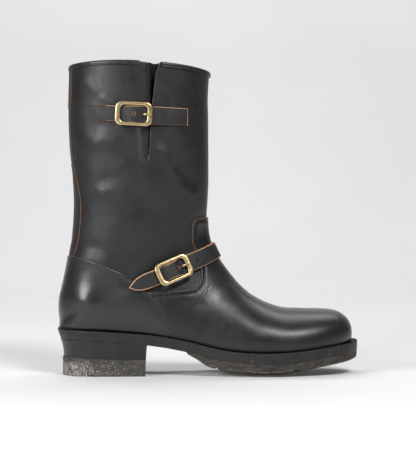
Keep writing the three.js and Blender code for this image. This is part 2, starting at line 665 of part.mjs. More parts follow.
const overVamp = GAP + OVERLAY + STRAP_OVER_VAMP;
const instepPlaces = sectionsOf(INSTEP_STRAP_SECTIONS);
const instepAngles = [...spread(-2.2, 0.2, 30), ...spread(0.4, 3.9, 12)];
const instepLift = strapLift(INSTEP_BUCKLE, instepFrame, overVamp);
const instepOutline = [...smoothLine(INSTEP_STRAP_TOP, 16), ...smoothLine(INSTEP_STRAP_FOOT, 16)];
const instepOuterSide = strapSolid(instepPlaces, instepAngles, instepLift, STRAP, instepOutline, -REACH, 2);
const instepInnerSide = strapSolid(
  instepPlaces, instepAngles, instepLift, STRAP,
  instepOutline.filter(([x]) => x > lengthOf(INSTEP_STRAP_END)), 1, REACH,
);
const instepStrap = instepOuterSide.add(instepInnerSide).subtract(prongHole(instepFrame));
const instepChape = strapSolid(
  instepPlaces, instepAngles, () => overVamp, CHAPE - GAP, inMillimetres(INSTEP_CHAPE_OUTLINE), -REACH, 0,
);

const weltPlate = plate(SOLE_SHARES, [seatLayer(WELT, 0), seatLayer(0, 0)], EDGES_ONLY);
const weltHole = plate(
  SOLE_SHARES, [seatLayer(2 * WELT, WELT_INSET), seatLayer(-WELT, WELT_INSET)], EDGES_ONLY,
);
const welt = weltPlate.subtract(weltHole);

const midsoleTop = WELT + GAP;
const midsoleFoot = midsoleTop + MIDSOLE;
const midsole = plate(
  SOLE_SHARES,
  [seatLayer(midsoleFoot, MIDSOLE_INSET + MIDSOLE_DRAFT), seatLayer(midsoleTop, MIDSOLE_INSET)],
  EDGES_ONLY,
);

// The insole lies on the welt's inner edge and its bedding fills the welt's hole.
const beddingInset = WELT_INSET + GAP;
const bedding = plate(
  SOLE_SHARES, [seatLayer(WELT, beddingInset), seatLayer(-2 * GAP, beddingInset)], EDGES_ONLY,
);
const insole = plate(
  SOLE_SHARES, [seatLayer(-GAP, INSOLE_INSET), seatLayer(-GAP - INSOLE, INSOLE_INSET)], EDGES_ONLY,
).add(bedding);

const halfSoleShares = [...spread(HALF_SOLE_START, 0.925, 16), ...TIP_SHARES];
const treadLayer = (share) => {
  const edge = soleEdge(share, TREAD_INSET);
  const half = (edge.inner - edge.outer) / BALL;
  const middle = HEIGHT * columnAt(TREAD, 1, share);
  const crown = half * TREAD_CROWN * ease(HALF_SOLE_START, TREAD_FULL, share);
  return { ...edge, height: (across) => middle + crown * Math.abs(across) ** TREAD_FORM };
};
const TREAD_COLUMNS = [-1, -0.75, -0.45, 0.45, 0.75, 1];
const aboveFloor = boxSolid([-REACH, -REACH, 0], [REACH, REACH, REACH]);
let halfSole = plate(
  halfSoleShares, [treadLayer, seatLayer(midsoleFoot + GAP, HALF_SOLE_INSET)], TREAD_COLUMNS,
).intersect(aboveFloor);
TREAD_GROOVES.forEach((share) => {
  const half = GROOVE_WIDTH / 2;
  const top = HEIGHT * columnAt(TREAD, 1, share) + TREAD_CROWN / 2 + GROOVE_DEPTH;
  const x = lengthOf(share);
  const cut = boxSolid([x - half, -REACH, -REACH], [x + half, REACH, top]);
  halfSole = halfSole.subtract(cut);
});

const HEEL_SHARES = [0.003, 0.007, 0.018, 0.045, 0.1, 0.16, 0.22, HEEL_BREAST];
const liftTopAt = (x) => LIFT_REAR + ((LIFT_BREAST - LIFT_REAR) * shareOf(x)) / HEEL_BREAST;
const heelLayer = ({ rear, side, breast }, heightAt) => (share) => {
  const along = share / HEEL_BREAST;
  const x = lengthOf(share) + rear * (1 - along) - breast * along;
  return { ...soleEdge(share, side), x, height: () => heightAt(x) };
};
const stackTopAt = (x) => seatAt(x) - midsoleFoot - GAP;
const heelStack = plate(
  HEEL_SHARES,
  [
    heelLayer(STACK_FOOT, (x) => liftTopAt(x) + GAP),
    heelLayer(STACK_MIDDLE, (x) => (liftTopAt(x) + stackTopAt(x)) / 2),
    heelLayer(STACK_TOP, stackTopAt),
  ],
  EDGES_ONLY,
);
const heelLift = plate(
  HEEL_SHARES,
  [heelLayer(LIFT_FOOT, () => 0), heelLayer(LIFT_TOP, liftTopAt)],
  EDGES_ONLY,
);

const leather = { color: 0x1c1b1c, roughness: 0.45 };
const soleLeather = { color: 0x201e1d, roughness: 0.55 };
const rubber = { color: 0x35322e, roughness: 0.9 };
const brass = { color: 0xa88a4e, roughness: 0.35, metalness: 1 };

function meshOf(name, solid, finish) {
  const made = solid.getMesh();
  const geometry = new THREE.BufferGeometry();
  const position = new THREE.Float32BufferAttribute(made.numVert * 3, 3);
  for (let i = 0; i < made.numVert; i += 1) {
    const at = i * made.numProp;
    position.setXYZ(i, made.vertProperties[at], made.vertProperties[at + 1], made.vertProperties[at + 2]);
  }
  geometry.setAttribute("position", position);
  geometry.setIndex(new THREE.BufferAttribute(made.triVerts, 1));
  geometry.computeVertexNormals();
  const mesh = new THREE.Mesh(geometry, new THREE.MeshStandardMaterial(finish));
  mesh.name = name;
  return mesh;
}

const boot = new THREE.Group();
boot.name = "engineer_boot";
boot.add(
  meshOf("upper", upper, leather),
  meshOf("vamp", vamp, leather),
  meshOf("counter", counter, leather),
  meshOf("back_stay", backStay, leather),
  meshOf("top_binding", topBinding, leather),
  meshOf("gusset", gusset, leather),
  meshOf("top_strap", topStrap, leather),
  meshOf("top_chape", topChape, leather),
  meshOf("top_buckle", topBuckle, brass),
  meshOf("top_prong", topProng, brass),
  meshOf("instep_strap", instepStrap, leather),
  meshOf("instep_chape", instepChape, leather),
  meshOf("instep_buckle", instepBuckle, brass),
  meshOf("instep_prong", instepProng, brass),
  meshOf("insole", insole, soleLeather),
  meshOf("welt", welt, soleLeather),
  meshOf("midsole", midsole, soleLeather),
  meshOf("half_sole", halfSole, rubber),
  meshOf("heel_stack", heelStack, soleLeather),
  meshOf("heel_lift", heelLift, rubber),
);

export default boot;
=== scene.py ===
import math

import bpy
import numpy as np
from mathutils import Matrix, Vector


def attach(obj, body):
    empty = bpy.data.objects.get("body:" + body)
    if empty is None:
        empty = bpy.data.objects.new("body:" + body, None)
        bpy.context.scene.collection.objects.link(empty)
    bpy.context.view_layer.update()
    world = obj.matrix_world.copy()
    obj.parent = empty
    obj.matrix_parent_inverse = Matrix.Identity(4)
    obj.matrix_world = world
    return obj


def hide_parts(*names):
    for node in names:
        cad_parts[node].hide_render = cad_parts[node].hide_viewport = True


# The looks of a right-foot engineer boot. Shapes are worked out in millimetres in the part's frame:
# +X to the toe, +Y to the inner side, +Z up, with the origin under the heel. Meshes are in metres.

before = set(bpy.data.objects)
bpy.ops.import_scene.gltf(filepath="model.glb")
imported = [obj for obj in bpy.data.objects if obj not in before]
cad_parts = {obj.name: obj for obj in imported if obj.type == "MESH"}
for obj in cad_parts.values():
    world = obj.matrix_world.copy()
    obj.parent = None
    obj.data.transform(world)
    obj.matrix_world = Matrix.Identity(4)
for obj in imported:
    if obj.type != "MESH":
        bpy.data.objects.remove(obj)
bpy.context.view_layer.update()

LENGTH = 310.0
HEIGHT = 316.0
BALL = 108.0
REAR = -0.155 * LENGTH
GAP = 0.3
WALL = 2.2
OVERLAY = 1.5
STRAP = 1.9
STRAP_OVER_VAMP = 0.75
HEEL_BREAST = 0.295
HALF_SOLE_START = 0.425
LIFT_REAR = 19.0
LIFT_BREAST = 16.2

# Sections of the upper from the toe to the collar: lengths, heights and widths as shares.
COLUMNS = [
    "topX", "topZ", "backX", "backZ", "outer", "inner", "ridge", "widest", "topForm", "backForm", "bow",
]
SECTIONS = np.array([
    [0.975, 0.1345, 0.975, 0.1345, -0.046, 0.046, 0, 0.45, 2.2, 2.2, 0],
    [0.970, 0.1575, 0.971, 0.1085, 0.098, 0.184, 0, 0.45, 2.2, 2.2, 0],
    [0.961, 0.1735, 0.962, 0.0905, 0.186, 0.266, 0, 0.45, 2.2, 2.2, 0],
    [0.945, 0.1875, 0.945, 0.0775, 0.260, 0.328, 0.005, 0.45, 2.2, 2.3, 0],
    [0.917, 0.1985, 0.917, 0.0625, 0.333, 0.381, 0.01, 0.45, 2.25, 2.4, 0],
    [0.872, 0.2025, 0.872, 0.0445, 0.396, 0.423, 0.02, 0.43, 2.3, 2.6, 0],
    [0.816, 0.2035, 0.816, 0.0295, 0.444, 0.443, 0.035, 0.42, 2.3, 2.8, 0],
    [0.749, 0.2085, 0.749, 0.0215, 0.473, 0.447, 0.05, 0.41, 2.2, 2.8, 0],
    [0.686, 0.2285, 0.679, 0.0215, 0.478, 0.424, 0.06, 0.39, 2.1, 2.8, 0],
    [0.633, 0.2565, 0.606, 0.0265, 0.457, 0.390, 0.065, 0.36, 2.0, 2.8, 0],
    [0.593, 0.2935, 0.523, 0.0395, 0.415, 0.352, 0.065, 0.34, 1.95, 2.8, 0],
    [0.561, 0.3325, 0.424, 0.0675, 0.367, 0.320, 0.06, 0.33, 1.95, 2.8, 0],
    [0.533, 0.3715, 0.307, 0.0945, 0.345, 0.313, 0.05, 0.34, 1.95, 2.8, 0],
    [0.513, 0.4125, 0.174, 0.1075, 0.342, 0.322, 0.04, 0.36, 2.0, 2.9, 0],
    [0.501, 0.4515, 0.031, 0.1235, 0.345, 0.334, 0.03, 0.36, 2.0, 2.8, 0],
    [0.496, 0.4845, 0.0145, 0.1785, 0.352, 0.343, 0.02, 0.40, 2.0, 2.5, 0],
    [0.495, 0.5175, 0.012, 0.2375, 0.363, 0.353, 0.01, 0.44, 2.05, 2.3, 0],
    [0.497, 0.5495, 0.026, 0.3025, 0.380, 0.370, 0, 0.47, 2.1, 2.2, 0],
    [0.499, 0.5855, 0.039, 0.3675, 0.394, 0.384, 0, 0.49, 2.15, 2.2, 0],
    [0.501, 0.6345, 0.053, 0.4515, 0.407, 0.398, 0, 0.5, 2.2, 2.2, 0],
    [0.501, 0.6935, 0.059, 0.5395, 0.426, 0.417, 0, 0.5, 2.2, 2.2, 0],
    [0.500, 0.7585, 0.055, 0.6345, 0.440, 0.430, 0, 0.5, 2.2, 2.2, 0],
    [0.500, 0.8305, 0.045, 0.7385, 0.454, 0.444, 0, 0.5, 2.2, 2.2, 0.002],
    [0.499, 0.9015, 0.041, 0.8495, 0.458, 0.449, 0, 0.5, 2.2, 2.2, 0.006],
    [0.503, 0.9735, 0.043, 0.9915, 0.463, 0.454, 0, 0.5, 2.2, 2.2, 0.013],
])
COLLAR = len(SECTIONS) - 1

SEAT = np.array([
    [0, 0.1506], [0.0175, 0.1487], [0.136, 0.1437], [0.27, 0.1342], [0.345, 0.125], [0.433, 0.1082],
    [0.535, 0.0848], [0.608, 0.0769], [0.688, 0.0747], [0.786, 0.0794], [0.89, 0.093], [0.972, 0.1025],
    [1, 0.107],
])
OUTLINE = np.array([
    [0.003, 0.015, 0.015], [0.007, 0.095, 0.093], [0.018, 0.178, 0.174], [0.045, 0.268, 0.258],
    [0.1, 0.328, 0.314], [0.18, 0.343, 0.326], [0.27, 0.345, 0.32], [0.36, 0.351, 0.309],
    [0.45, 0.384, 0.308], [0.54, 0.45, 0.348], [0.62, 0.505, 0.41], [0.7, 0.53, 0.475],
    [0.78, 0.505, 0.49], [0.86, 0.445, 0.473], [0.92, 0.362, 0.425], [0.96, 0.266, 0.354],
    [0.985, 0.16, 0.268], [0.996, 0.07, 0.184], [1, -0.005, 0.1],
])
TREAD = np.array([
    [0.425, 0.0712], [0.45, 0.0554], [0.475, 0.0364], [0.5, 0.0228], [0.53, 0.0146], [0.565, 0.007],
    [0.62, 0.0006], [0.655, -0.0028], [0.7, -0.0032], [0.745, -0.0016], [0.79, 0.0063],
    [0.86, 0.0177], [0.93, 0.0297], [0.97, 0.0386], [1, 0.0494],
])
TREAD_CROWN = 6.0
SOLE_DEPTH = 10.5
TREAD_GROOVES = [0.525, 0.773]

# Edges seen from the side: length and height.
COUNTER_EDGE = [
    [-0.05, 0.3835], [0.034, 0.3835], [0.07, 0.3785], [0.104, 0.3686], [0.141, 0.358], [0.181, 0.34],
    [0.211, 0.327], [0.233, 0.311], [0.271, 0.2875], [0.303, 0.263], [0.321, 0.2385], [0.336, 0.2125],
    [0.345, 0.1955], [0.359, 0.1615], [0.368, 0.129], [0.372, 0.1],
]
VAMP_EDGE = [
    [0.29, 0.264], [0.368, 0.27], [0.438, 0.275], [0.459, 0.284], [0.47, 0.308], [0.47, 0.337],
    [0.465, 0.369], [0.454, 0.4], [0.443, 0.426], [0.44, 0.455], [0.442, 0.483], [0.452, 0.5],
    [0.47, 0.506], [0.497, 0.5073], [0.56, 0.5075],
]
STAY_EDGE = [
    [0.055, 0.37], [0.0596, 0.385], [0.0776, 0.465], [0.0825, 0.5445], [0.071, 0.6185], [0.054, 0.7055],
    [0.048, 0.8015], [0.0495, 0.8815], [0.053, 0.97], [0.053, 1],
]
SLIT = [
    [0.2712, 1.02], [0.2716, 0.9945], [0.2915, 0.993], [0.293, 0.9645], [0.294, 0.8735],
    [0.295, 0.7885], [0.2975, 0.7025], [0.2986, 0.685], [0.3, 0.7025], [0.304, 0.7885],
    [0.3116, 0.872], [0.3225, 0.9625], [0.3347, 0.992],
    [0.337, 1.02],
]
TOP_STRAP = [
    [0.0863, 0.8385], [0.0985, 0.852], [0.114, 0.8605], [0.1875, 0.8553], [0.3087, 0.8524],
    [0.4235, 0.8496], [0.4235, 0.7957], [0.3088, 0.7966], [0.1875, 0.8067], [0.112, 0.8117],
    [0.0965, 0.8235],
]
INSTEP_STRAP_TOP = [
    [0.2342, 0.2817], [0.2519, 0.307], [0.2777, 0.3257], [0.3247, 0.3435], [0.4152, 0.381],
    [0.465, 0.4007], [0.5062, 0.421], [0.532, 0.4307], [0.58, 0.446],
]
INSTEP_STRAP_FOOT = [
    [0.58, 0.398], [0.5475, 0.3825], [0.5098, 0.3616], [0.4525, 0.3353], [0.401, 0.3155],
    [0.3358, 0.2907], [0.2873, 0.2742], [0.2551, 0.2735],
]
INSTEP_STRAP_END = 0.33

BUCKLE_DEPTH = 2.6
HINGE_DEPTH = 1.4
HINGE_DROP = 1.5
STRAP_ARCH = 11.0
ARCH_CLEAR = 1.3
TOP_BUCKLE = {
    "section": 22.5, "angle": -1.64, "slope": -0.055, "lift": 3.7, "strap": 1.9,
    "rise": (-36, -22), "fall": (22, 34), "low": GAP,
}
INSTEP_BUCKLE = {
    "section": 13.5, "angle": -1.03, "slope": 0.425, "lift": 7.2, "strap": 3.9,
    "rise": (-46, -30), "fall": (20, 34), "low": GAP + OVERLAY + STRAP_OVER_VAMP,
}

random = np.random.default_rng(7)


def ease(low, high, value):
    share = np.clip((value - low) / (high - low), 0, 1)
    return share * share * (3 - 2 * share)


def length_of(share):
    return REAR + LENGTH * np.asarray(share, float)


def share_of(x):
    return (np.asarray(x, float) - REAR) / LENGTH


def column_at(table, column, share):
    """A table's column at length shares, with the rows' slopes taken from their neighbours."""
    keys, values = table[:, 0], table[:, column]
    last = len(keys) - 1
    held = np.clip(share, keys[0], keys[last])
    row = np.clip(np.searchsorted(keys, held, side="left") - 1, 0, last - 1)
    low, high = np.maximum(np.arange(last + 1) - 1, 0), np.minimum(np.arange(last + 1) + 1, last)
    slopes = (values[high] - values[low]) / (keys[high] - keys[low])
    width = keys[row + 1] - keys[row]
    t = (held - keys[row]) / width
    t2, t3 = t * t, t * t * t
    return (
        (2 * t3 - 3 * t2 + 1) * values[row]
        + (t3 - 2 * t2 + t) * width * slopes[row]
        + (3 * t2 - 2 * t3) * values[row + 1]
        + (t3 - t2) * width * slopes[row + 1]
    )


def seat_at(x):
    return HEIGHT * column_at(SEAT, 1, share_of(x))


def section_values(place):
    held = np.clip(np.asarray(place, float), 0, COLLAR)
    row = np.minimum(held.astype(int), COLLAR - 1)
    share = (held - row)[..., None]
    start, end = SECTIONS[row], SECTIONS[row + 1]
    before = np.where((row > 0)[..., None], SECTIONS[np.maximum(row - 1, 0)], 2 * start - end)
    following = SECTIONS[np.minimum(row + 2, COLLAR)]
    after = np.where((row + 2 <= COLLAR)[..., None], following, 2 * end - start)
    slope = end - before
    bend = 2 * before - 5 * start + 4 * end - after
    turn = 3 * (start - end) + after - before
    values = start + 0.5 * share * (slope + share * (bend + share * turn))
    return {name: values[..., i] for i, name in enumerate(COLUMNS)}


def surface(place, angle):
    """Points of the upper's outer surface. The angle is 0 at a section's top and a quarter turn at +Y."""
    s = section_values(place)
    cos, sin = np.cos(angle), np.sin(angle)
    form = np.where(cos > 0, s["topForm"], s["backForm"])
    along = np.sign(cos) * np.abs(cos) ** (2 / form)
    across = np.sign(sin) * np.abs(sin) ** (2 / form)
    share = np.where(cos > 0, s["widest"] + (1 - s["widest"]) * along, s["widest"] * (1 + along))
    rise = np.maximum(0, (share - s["widest"]) / (1 - s["widest"]))
    middle, half = (s["inner"] - s["outer"]) / 2, (s["inner"] + s["outer"]) / 2
    return np.stack([
        length_of(s["backX"] + share * (s["topX"] - s["backX"])),
        BALL * (middle + half * across + s["ridge"] * rise**2),
        HEIGHT * (s["backZ"] + share * (s["topZ"] - s["backZ"]) + s["bow"] * sin * sin),
    ], -1)


def unit(vectors):
    return vectors / np.maximum(np.linalg.norm(vectors, axis=-1, keepdims=True), 1e-9)


def surface_normal(place, angle):
    step = 0.001
    above, below = np.minimum(place + 5 * step, COLLAR), np.maximum(place - 5 * step, 0)
    along = surface(above, angle) - surface(below, angle)
    around = surface(place, angle + step) - surface(place, angle - step)
    return unit(np.cross(around, along))


def to_side(table):
    """Side-view shares as x and z in millimetres."""
    table = np.asarray(table, float)
    return np.stack([length_of(table[:, 0]), HEIGHT * table[:, 1]], 1)


def smooth_line(points, count, closed=False):
    """A smooth line through points, with equal steps of its parameter."""
    points = np.asarray(points, float)
    if closed:
        padded = np.vstack([points[-1], points, points[0], points[1]])
        spans = len(points)
    else:
        padded = np.vstack([points[0], points, points[-1]])
        spans = len(points) - 1
    t = np.linspace(0, spans, count, endpoint=not closed)
    row = np.minimum(t.astype(int), spans - 1)
    s = (t - row)[:, None]
    a, b, c, d = padded[row], padded[row + 1], padded[row + 2], padded[row + 3]
    return 0.5 * (2 * b + s * (c - a + s * (2 * a - 5 * b + 4 * c - d + s * (3 * (b - c) + d - a))))


def line_distance(points, line):
    """Distance of side-view points to a line of points."""
    best = np.full(len(points), 1e9)
    for a, b in zip(line[:-1], line[1:]):
        d = b - a
        t = np.clip(((points - a) @ d) / max(d @ d, 1e-9), 0, 1)
        best = np.minimum(best, np.hypot(*(points - a - t[:, None] * d).T))
    return best


def inside(points, polygon):
    """Which side-view points lie in a closed outline."""
    x, z = points.T
    found = np.zeros(len(points), bool)
    for (x0, z0), (x1, z1) in zip(polygon, np.roll(polygon, -1, 0)):
        crosses = (z0 > z) != (z1 > z)
        with np.errstate(divide="ignore", invalid="ignore"):
            at = x0 + (z - z0) * (x1 - x0) / (z1 - z0)
        found ^= crosses & (x < at)
    return found


def outline_distance(points, line, polygon):
    """How far side-view points are inside a form: below 0 is outside."""
    return np.where(inside(points, polygon), 1, -1) * line_distance(points, line)


counter_line = smooth_line(to_side(COUNTER_EDGE), 90)
vamp_line = smooth_line(to_side(VAMP_EDGE), 110)
stay_line = smooth_line(to_side(STAY_EDGE), 60)
slit_line = smooth_line(to_side(SLIT[2:-2]), 60)
FAR = 500.0

counter_form = np.vstack([
    counter_line, [counter_line[-1, 0], -FAR], [-FAR, -FAR], [-FAR, counter_line[0, 1]],
])
vamp_form = np.vstack([vamp_line, [FAR, vamp_line[-1, 1]], [FAR, -FAR], [vamp_line[0, 0], -FAR]])
stay_form = np.vstack([stay_line, [stay_line[-1, 0], FAR], [-FAR, FAR], [-FAR, stay_line[0, 1]]])
slit_form = to_side(SLIT)
slit_edge = np.vstack([to_side(SLIT[:3]), slit_line[1:-1], to_side(SLIT[-3:])])


def on_surface(uv):
    """The surface's points and the ways out of it at parameters."""
    return surface(uv[:, 0], uv[:, 1]), surface_normal(uv[:, 0], uv[:, 1])


def lengths_along(points):
    """How far along a line each of its points lies."""
    return np.concatenate([[0], np.cumsum(np.linalg.norm(np.diff(points, axis=0), axis=1))])


def quads(index):
    """The faces of a grid of point numbers."""
    return np.stack([index[:-1, :-1], index[:-1, 1:], index[1:, 1:], index[1:, :-1]], -1).reshape(-1, 4)


def ring_quads(index):
    """The faces between closed rings of point numbers."""
    around = np.roll(index, -1, 1)
    return np.stack([index[:-1], around[:-1], around[1:], index[1:]], -1).reshape(-1, 4)


def even_places(low, high, step):
    """Places between two sections, at most a step apart on the surface."""
    fine = np.linspace(low, high, int((high - low) * 60) + 2)
    angles = np.linspace(-math.pi, math.pi, 33)[:-1]
    points = surface(fine[:, None], angles[None, :])
    lengths = np.linalg.norm(np.diff(points, axis=0), axis=2).max(1)
    total = np.concatenate([[0], np.cumsum(lengths)])
    count = max(2, int(math.ceil(total[-1] / step)) + 1)
    return np.interp(np.linspace(0, total[-1], count), total, fine)


def even_angles(low, high, step, sections=(3, 7, 11, 15, 20, 24)):
    """Angles whose points are about a step apart on the surface."""
    fine = np.linspace(low, high, 1500)
    total = np.zeros(len(fine))
    for section in sections:
        points = surface(np.full(len(fine), float(section)), fine)
        lengths = np.linalg.norm(np.diff(points, axis=0), axis=1)
        total[1:] = total[1:] + np.cumsum(lengths) / len(sections)
    count = max(3, int(math.ceil(total[-1] / step)) + 1)
    return np.interp(np.linspace(0, total[-1], count), total, fine)


def patch(places, angles):
    """Parameters and triangles of a grid over the upper's surface."""
    rows, cols = len(places), len(angles)
    uv = np.stack(np.meshgrid(places, angles, indexing="ij"), -1).reshape(-1, 2)
    index = np.arange(rows * cols).reshape(rows, cols)
    a, b, c, d = index[:-1, :-1], index[:-1, 1:], index[1:, 1:], index[1:, :-1]
    return uv, np.concatenate([np.stack(t, -1).reshape(-1, 3) for t in ([a, b, c], [a, c, d])])


def split_at(uv, tris, value_of, level):
    """Cuts the triangles where a value passes a level."""
    value = value_of(uv) - level
    value[np.abs(value) < 1e-7] = 1e-7
    signs = value[tris] > 0
    mixed = (signs.sum(1) == 1) | (signs.sum(1) == 2)
    kept, cut = tris[~mixed], tris[mixed]
    if not len(cut):
        return uv, tris
    cs = value[cut] > 0
    alone = np.where(cs.sum(1) == 1, 1, 0)
    lone = np.argmax(cs == alone[:, None].astype(bool), 1)
    order = (lone[:, None] + np.arange(3)) % 3
    cut = np.take_along_axis(cut, order, 1)
    a, b, c = cut.T
    edges = np.concatenate([np.stack([a, b], 1), np.stack([a, c], 1)])
    keys, back = np.unique(np.sort(edges, 1), axis=0, return_inverse=True)
    back = back.reshape(-1)
    p, q = keys.T
    t = value[p] / (value[p] - value[q])
    fresh = uv[p] + t[:, None] * (uv[q] - uv[p])
    ids = len(uv) + back
    ab, ac = ids[: len(a)], ids[len(a):]
    made = np.concatenate([
        np.stack([a, ab, ac], 1), np.stack([ab, b, c], 1), np.stack([ab, c, ac], 1),
    ])
    return np.vstack([uv, fresh]), np.vstack([kept, made])


def side_points(uv):
    points = surface(uv[:, 0], uv[:, 1])
    return points[:, [0, 2]], points[:, 1]


def trim(uv, tris, value_of):
    """Keeps the triangles where a value is above 0."""
    middle = uv[tris].mean(1)
    tris = tris[value_of(middle) > 0]
    used, back = np.unique(tris, return_inverse=True)
    return uv[used], back.reshape(-1, 3)


# Soft troughs and ridges of the leather, seen from the side: which side (-1 outer, 1 inner, 0 both),
# half width and height in millimetres, and the line it follows as shares of length and height.
RELIEF = [
    # soft lumps of the shaft, each with the hollow above it
    (-1, 8, 1.3, [[0.13, 0.738], [0.155, 0.75], [0.18, 0.745]]),
    (-1, 9, -0.8, [[0.13, 0.79], [0.18, 0.79]]),
    (-1, 7, 1.3, [[0.15, 0.585], [0.18, 0.592], [0.21, 0.585]]),
    (-1, 8, -0.8, [[0.15, 0.625], [0.21, 0.63]]),
    (-1, 6, 1.5, [[0.33, 0.712], [0.345, 0.705], [0.352, 0.69]]),
    (-1, 7, -0.8, [[0.345, 0.755], [0.37, 0.735]]),
    (-1, 5.5, 1.1, [[0.372, 0.66], [0.385, 0.64], [0.402, 0.618]]),
    (-1, 6, 1.2, [[0.41, 0.59], [0.425, 0.59], [0.445, 0.582]]),
    (-1, 7, -0.6, [[0.41, 0.63], [0.45, 0.625]]),
    (-1, 4.5, 0.9, [[0.092, 0.938], [0.108, 0.922], [0.124, 0.905]]),
    (-1, 4.5, 0.8, [[0.158, 0.88], [0.172, 0.872], [0.188, 0.868]]),
    (-1, 4, 0.6, [[0.437, 0.856], [0.448, 0.85]]),
    (-1, 9, 0.8, [[0.22, 0.655], [0.26, 0.63], [0.3, 0.62]]),
    (-1, 10, -0.8, [[0.23, 0.70], [0.25, 0.66]]),
    (-1, 10, 0.8, [[0.11, 0.66], [0.12, 0.64]]),
    (-1, 14, -0.7, [[0.3, 0.56], [0.34, 0.5], [0.36, 0.44]]),
    (-1, 11, 0.8, [[0.2, 0.48], [0.25, 0.46], [0.31, 0.45]]),
    (-1, 9, 0.7, [[0.4, 0.485], [0.43, 0.46]]),
    (-1, 7, 0.9, [[0.08, 0.372], [0.12, 0.37], [0.16, 0.36]]),
    (-1, 8, -0.7, [[0.08, 0.41], [0.13, 0.405], [0.19, 0.385]]),
    (1, 14, -1.0, [[0.2, 0.72], [0.24, 0.62], [0.27, 0.55]]),
    (1, 10, 1.1, [[0.3, 0.75], [0.33, 0.69], [0.34, 0.66]]),
    (1, 9, 1.1, [[0.14, 0.66], [0.18, 0.64], [0.22, 0.65]]),
    (1, 9, 1.0, [[0.38, 0.6], [0.42, 0.59]]),
    (1, 10, -0.8, [[0.12, 0.46], [0.2, 0.41], [0.28, 0.38]]),
    (1, 10, 0.8, [[0.14, 0.52], [0.22, 0.47], [0.3, 0.44]]),
    # the shaft breaks softly over the ankle
    (0, 7, -0.6, [[0.47, 0.46], [0.49, 0.44], [0.51, 0.42]]),
    (0, 9, -0.5, [[0.0, 0.44], [0.07, 0.43], [0.12, 0.41]]),
    # rolled edges beside the slit
    (-1, 3.2, 1.5, [[0.274, 0.79], [0.279, 0.74], [0.286, 0.69]]),
    (-1, 4.5, 0.5, [[0.318, 0.78], [0.316, 0.74]]),
    # vamp and counter
    (-1, 10, -0.5, [[0.47, 0.23], [0.52, 0.26], [0.54, 0.3]]),
    (0, 12, -0.45, [[0.66, 0.2], [0.7, 0.215], [0.74, 0.205]]),
    (-1, 4, 0.7, [[0.208, 0.283], [0.222, 0.278]]),
    (-1, 12.5, 3.3, [[0.098, 0.236], [0.103, 0.233]]),
    (-1, 12, -0.35, [[0.14, 0.22], [0.2, 0.2], [0.26, 0.18]]),
    (-1, 5, 0.4, [[0.635, 0.125], [0.655, 0.12]]),
]

# Groups of fine wrinkles: side, middle, direction in degrees, length, how many, spacing, depth.
WRINKLES = [
    (-1, (0.150, 0.625), 2, 26, 5, 2.3, 0.13),
    (-1, (0.170, 0.606), -3, 20, 3, 2.2, 0.10),
    (-1, (0.300, 0.600), 4, 15, 4, 2.4, 0.13),
    (-1, (0.400, 0.610), -2, 15, 3, 2.6, 0.11),
    (-1, (0.160, 0.503), 1, 22, 4, 2.0, 0.12),
    (-1, (0.130, 0.362), -14, 28, 4, 1.9, 0.12),
    (-1, (0.200, 0.340), -18, 18, 3, 2.0, 0.10),
    (-1, (0.455, 0.238), 35, 9, 11, 1.9, 0.17),
    (-1, (0.425, 0.232), 28, 8, 6, 1.8, 0.14),
    (-1, (0.490, 0.268), 52, 9, 6, 1.9, 0.15),
    (-1, (0.495, 0.325), 78, 10, 6, 1.7, 0.14),
    (-1, (0.520, 0.300), 62, 12, 4, 2.3, 0.08),
    (-1, (0.440, 0.205), 20, 14, 5, 2.2, 0.08),
    (1, (0.150, 0.60), 3, 24, 5, 2.3, 0.12),
    (1, (0.330, 0.60), -4, 22, 5, 2.5, 0.12),
    (1, (0.460, 0.24), 32, 10, 9, 1.9, 0.15),
    (1, (0.500, 0.30), 65, 12, 6, 2.1, 0.12),
    (1, (0.13, 0.36), -14, 26, 4, 2.0, 0.12),
]


def wrinkle_lines():
    """Each fine wrinkle as a narrow trough with a low ridge beside it."""
    lines = []
    for side, (share, height), degrees, length, count, spacing, depth in WRINKLES:
        turn = math.radians(degrees)
        along = np.array([math.cos(turn), math.sin(turn)])
        across = np.array([-along[1], along[0]])
        centre = np.array([length_of(share), HEIGHT * height])
        for i in range(count):
            start = centre + across * spacing * (i - (count - 1) / 2) + along * random.uniform(-4, 4)
            reach = length * random.uniform(0.55, 1) / 2
            t = np.linspace(-1, 1, 5)[:, None]
            wave = across * random.uniform(-0.7, 0.7, (5, 1))
            trough = start + along * reach * t + wave
            ridge = start + across * 0.5 * spacing + along * reach * t * 0.8 + wave
            lines.append((side, 0.75, -depth * random.uniform(0.6, 1.2), trough))
            lines.append((side, 0.8, 0.5 * depth, ridge))
    return lines


relief_lines = [(s, w, h, smooth_line(to_side(line), 9)) for s, w, h, line in RELIEF] + wrinkle_lines()


def relief(points):
    """How far the leather stands out or in at points of the surface, by listed strokes."""
    side_view = points[:, [0, 2]]
    total = np.zeros(len(points))
    for side, width, height, line in relief_lines:
        low, high = line.min(0) - 3 * width, line.max(0) + 3 * width
        near = ((side_view >= low) & (side_view <= high)).all(1)
        if side:
            near &= points[:, 1] * side > 0
        at = np.flatnonzero(near)
        if not len(at):
            continue
        strength = np.exp(-((line_distance(side_view[at], line) / width) ** 2))
        if side:
            strength = strength * ease(0, 14, np.abs(points[at, 1]))
        total[at] += height * strength
    x, y, z = points.T
    wave = np.sin(x / 17 + 1.3 * np.sin(z / 23)) * np.sin(z / 21 + 1.1 * np.sin(y / 19 + x / 31))
    total += 0.16 * wave * ease(40, 90, z)
    ripple = np.sin(x / 5.1 + z / 7.3 + 2 * np.sin(z / 11)) * np.sin(z / 6.1 - x / 9.7)
    total += 0.05 * ripple * ease(35, 70, z)
    return total


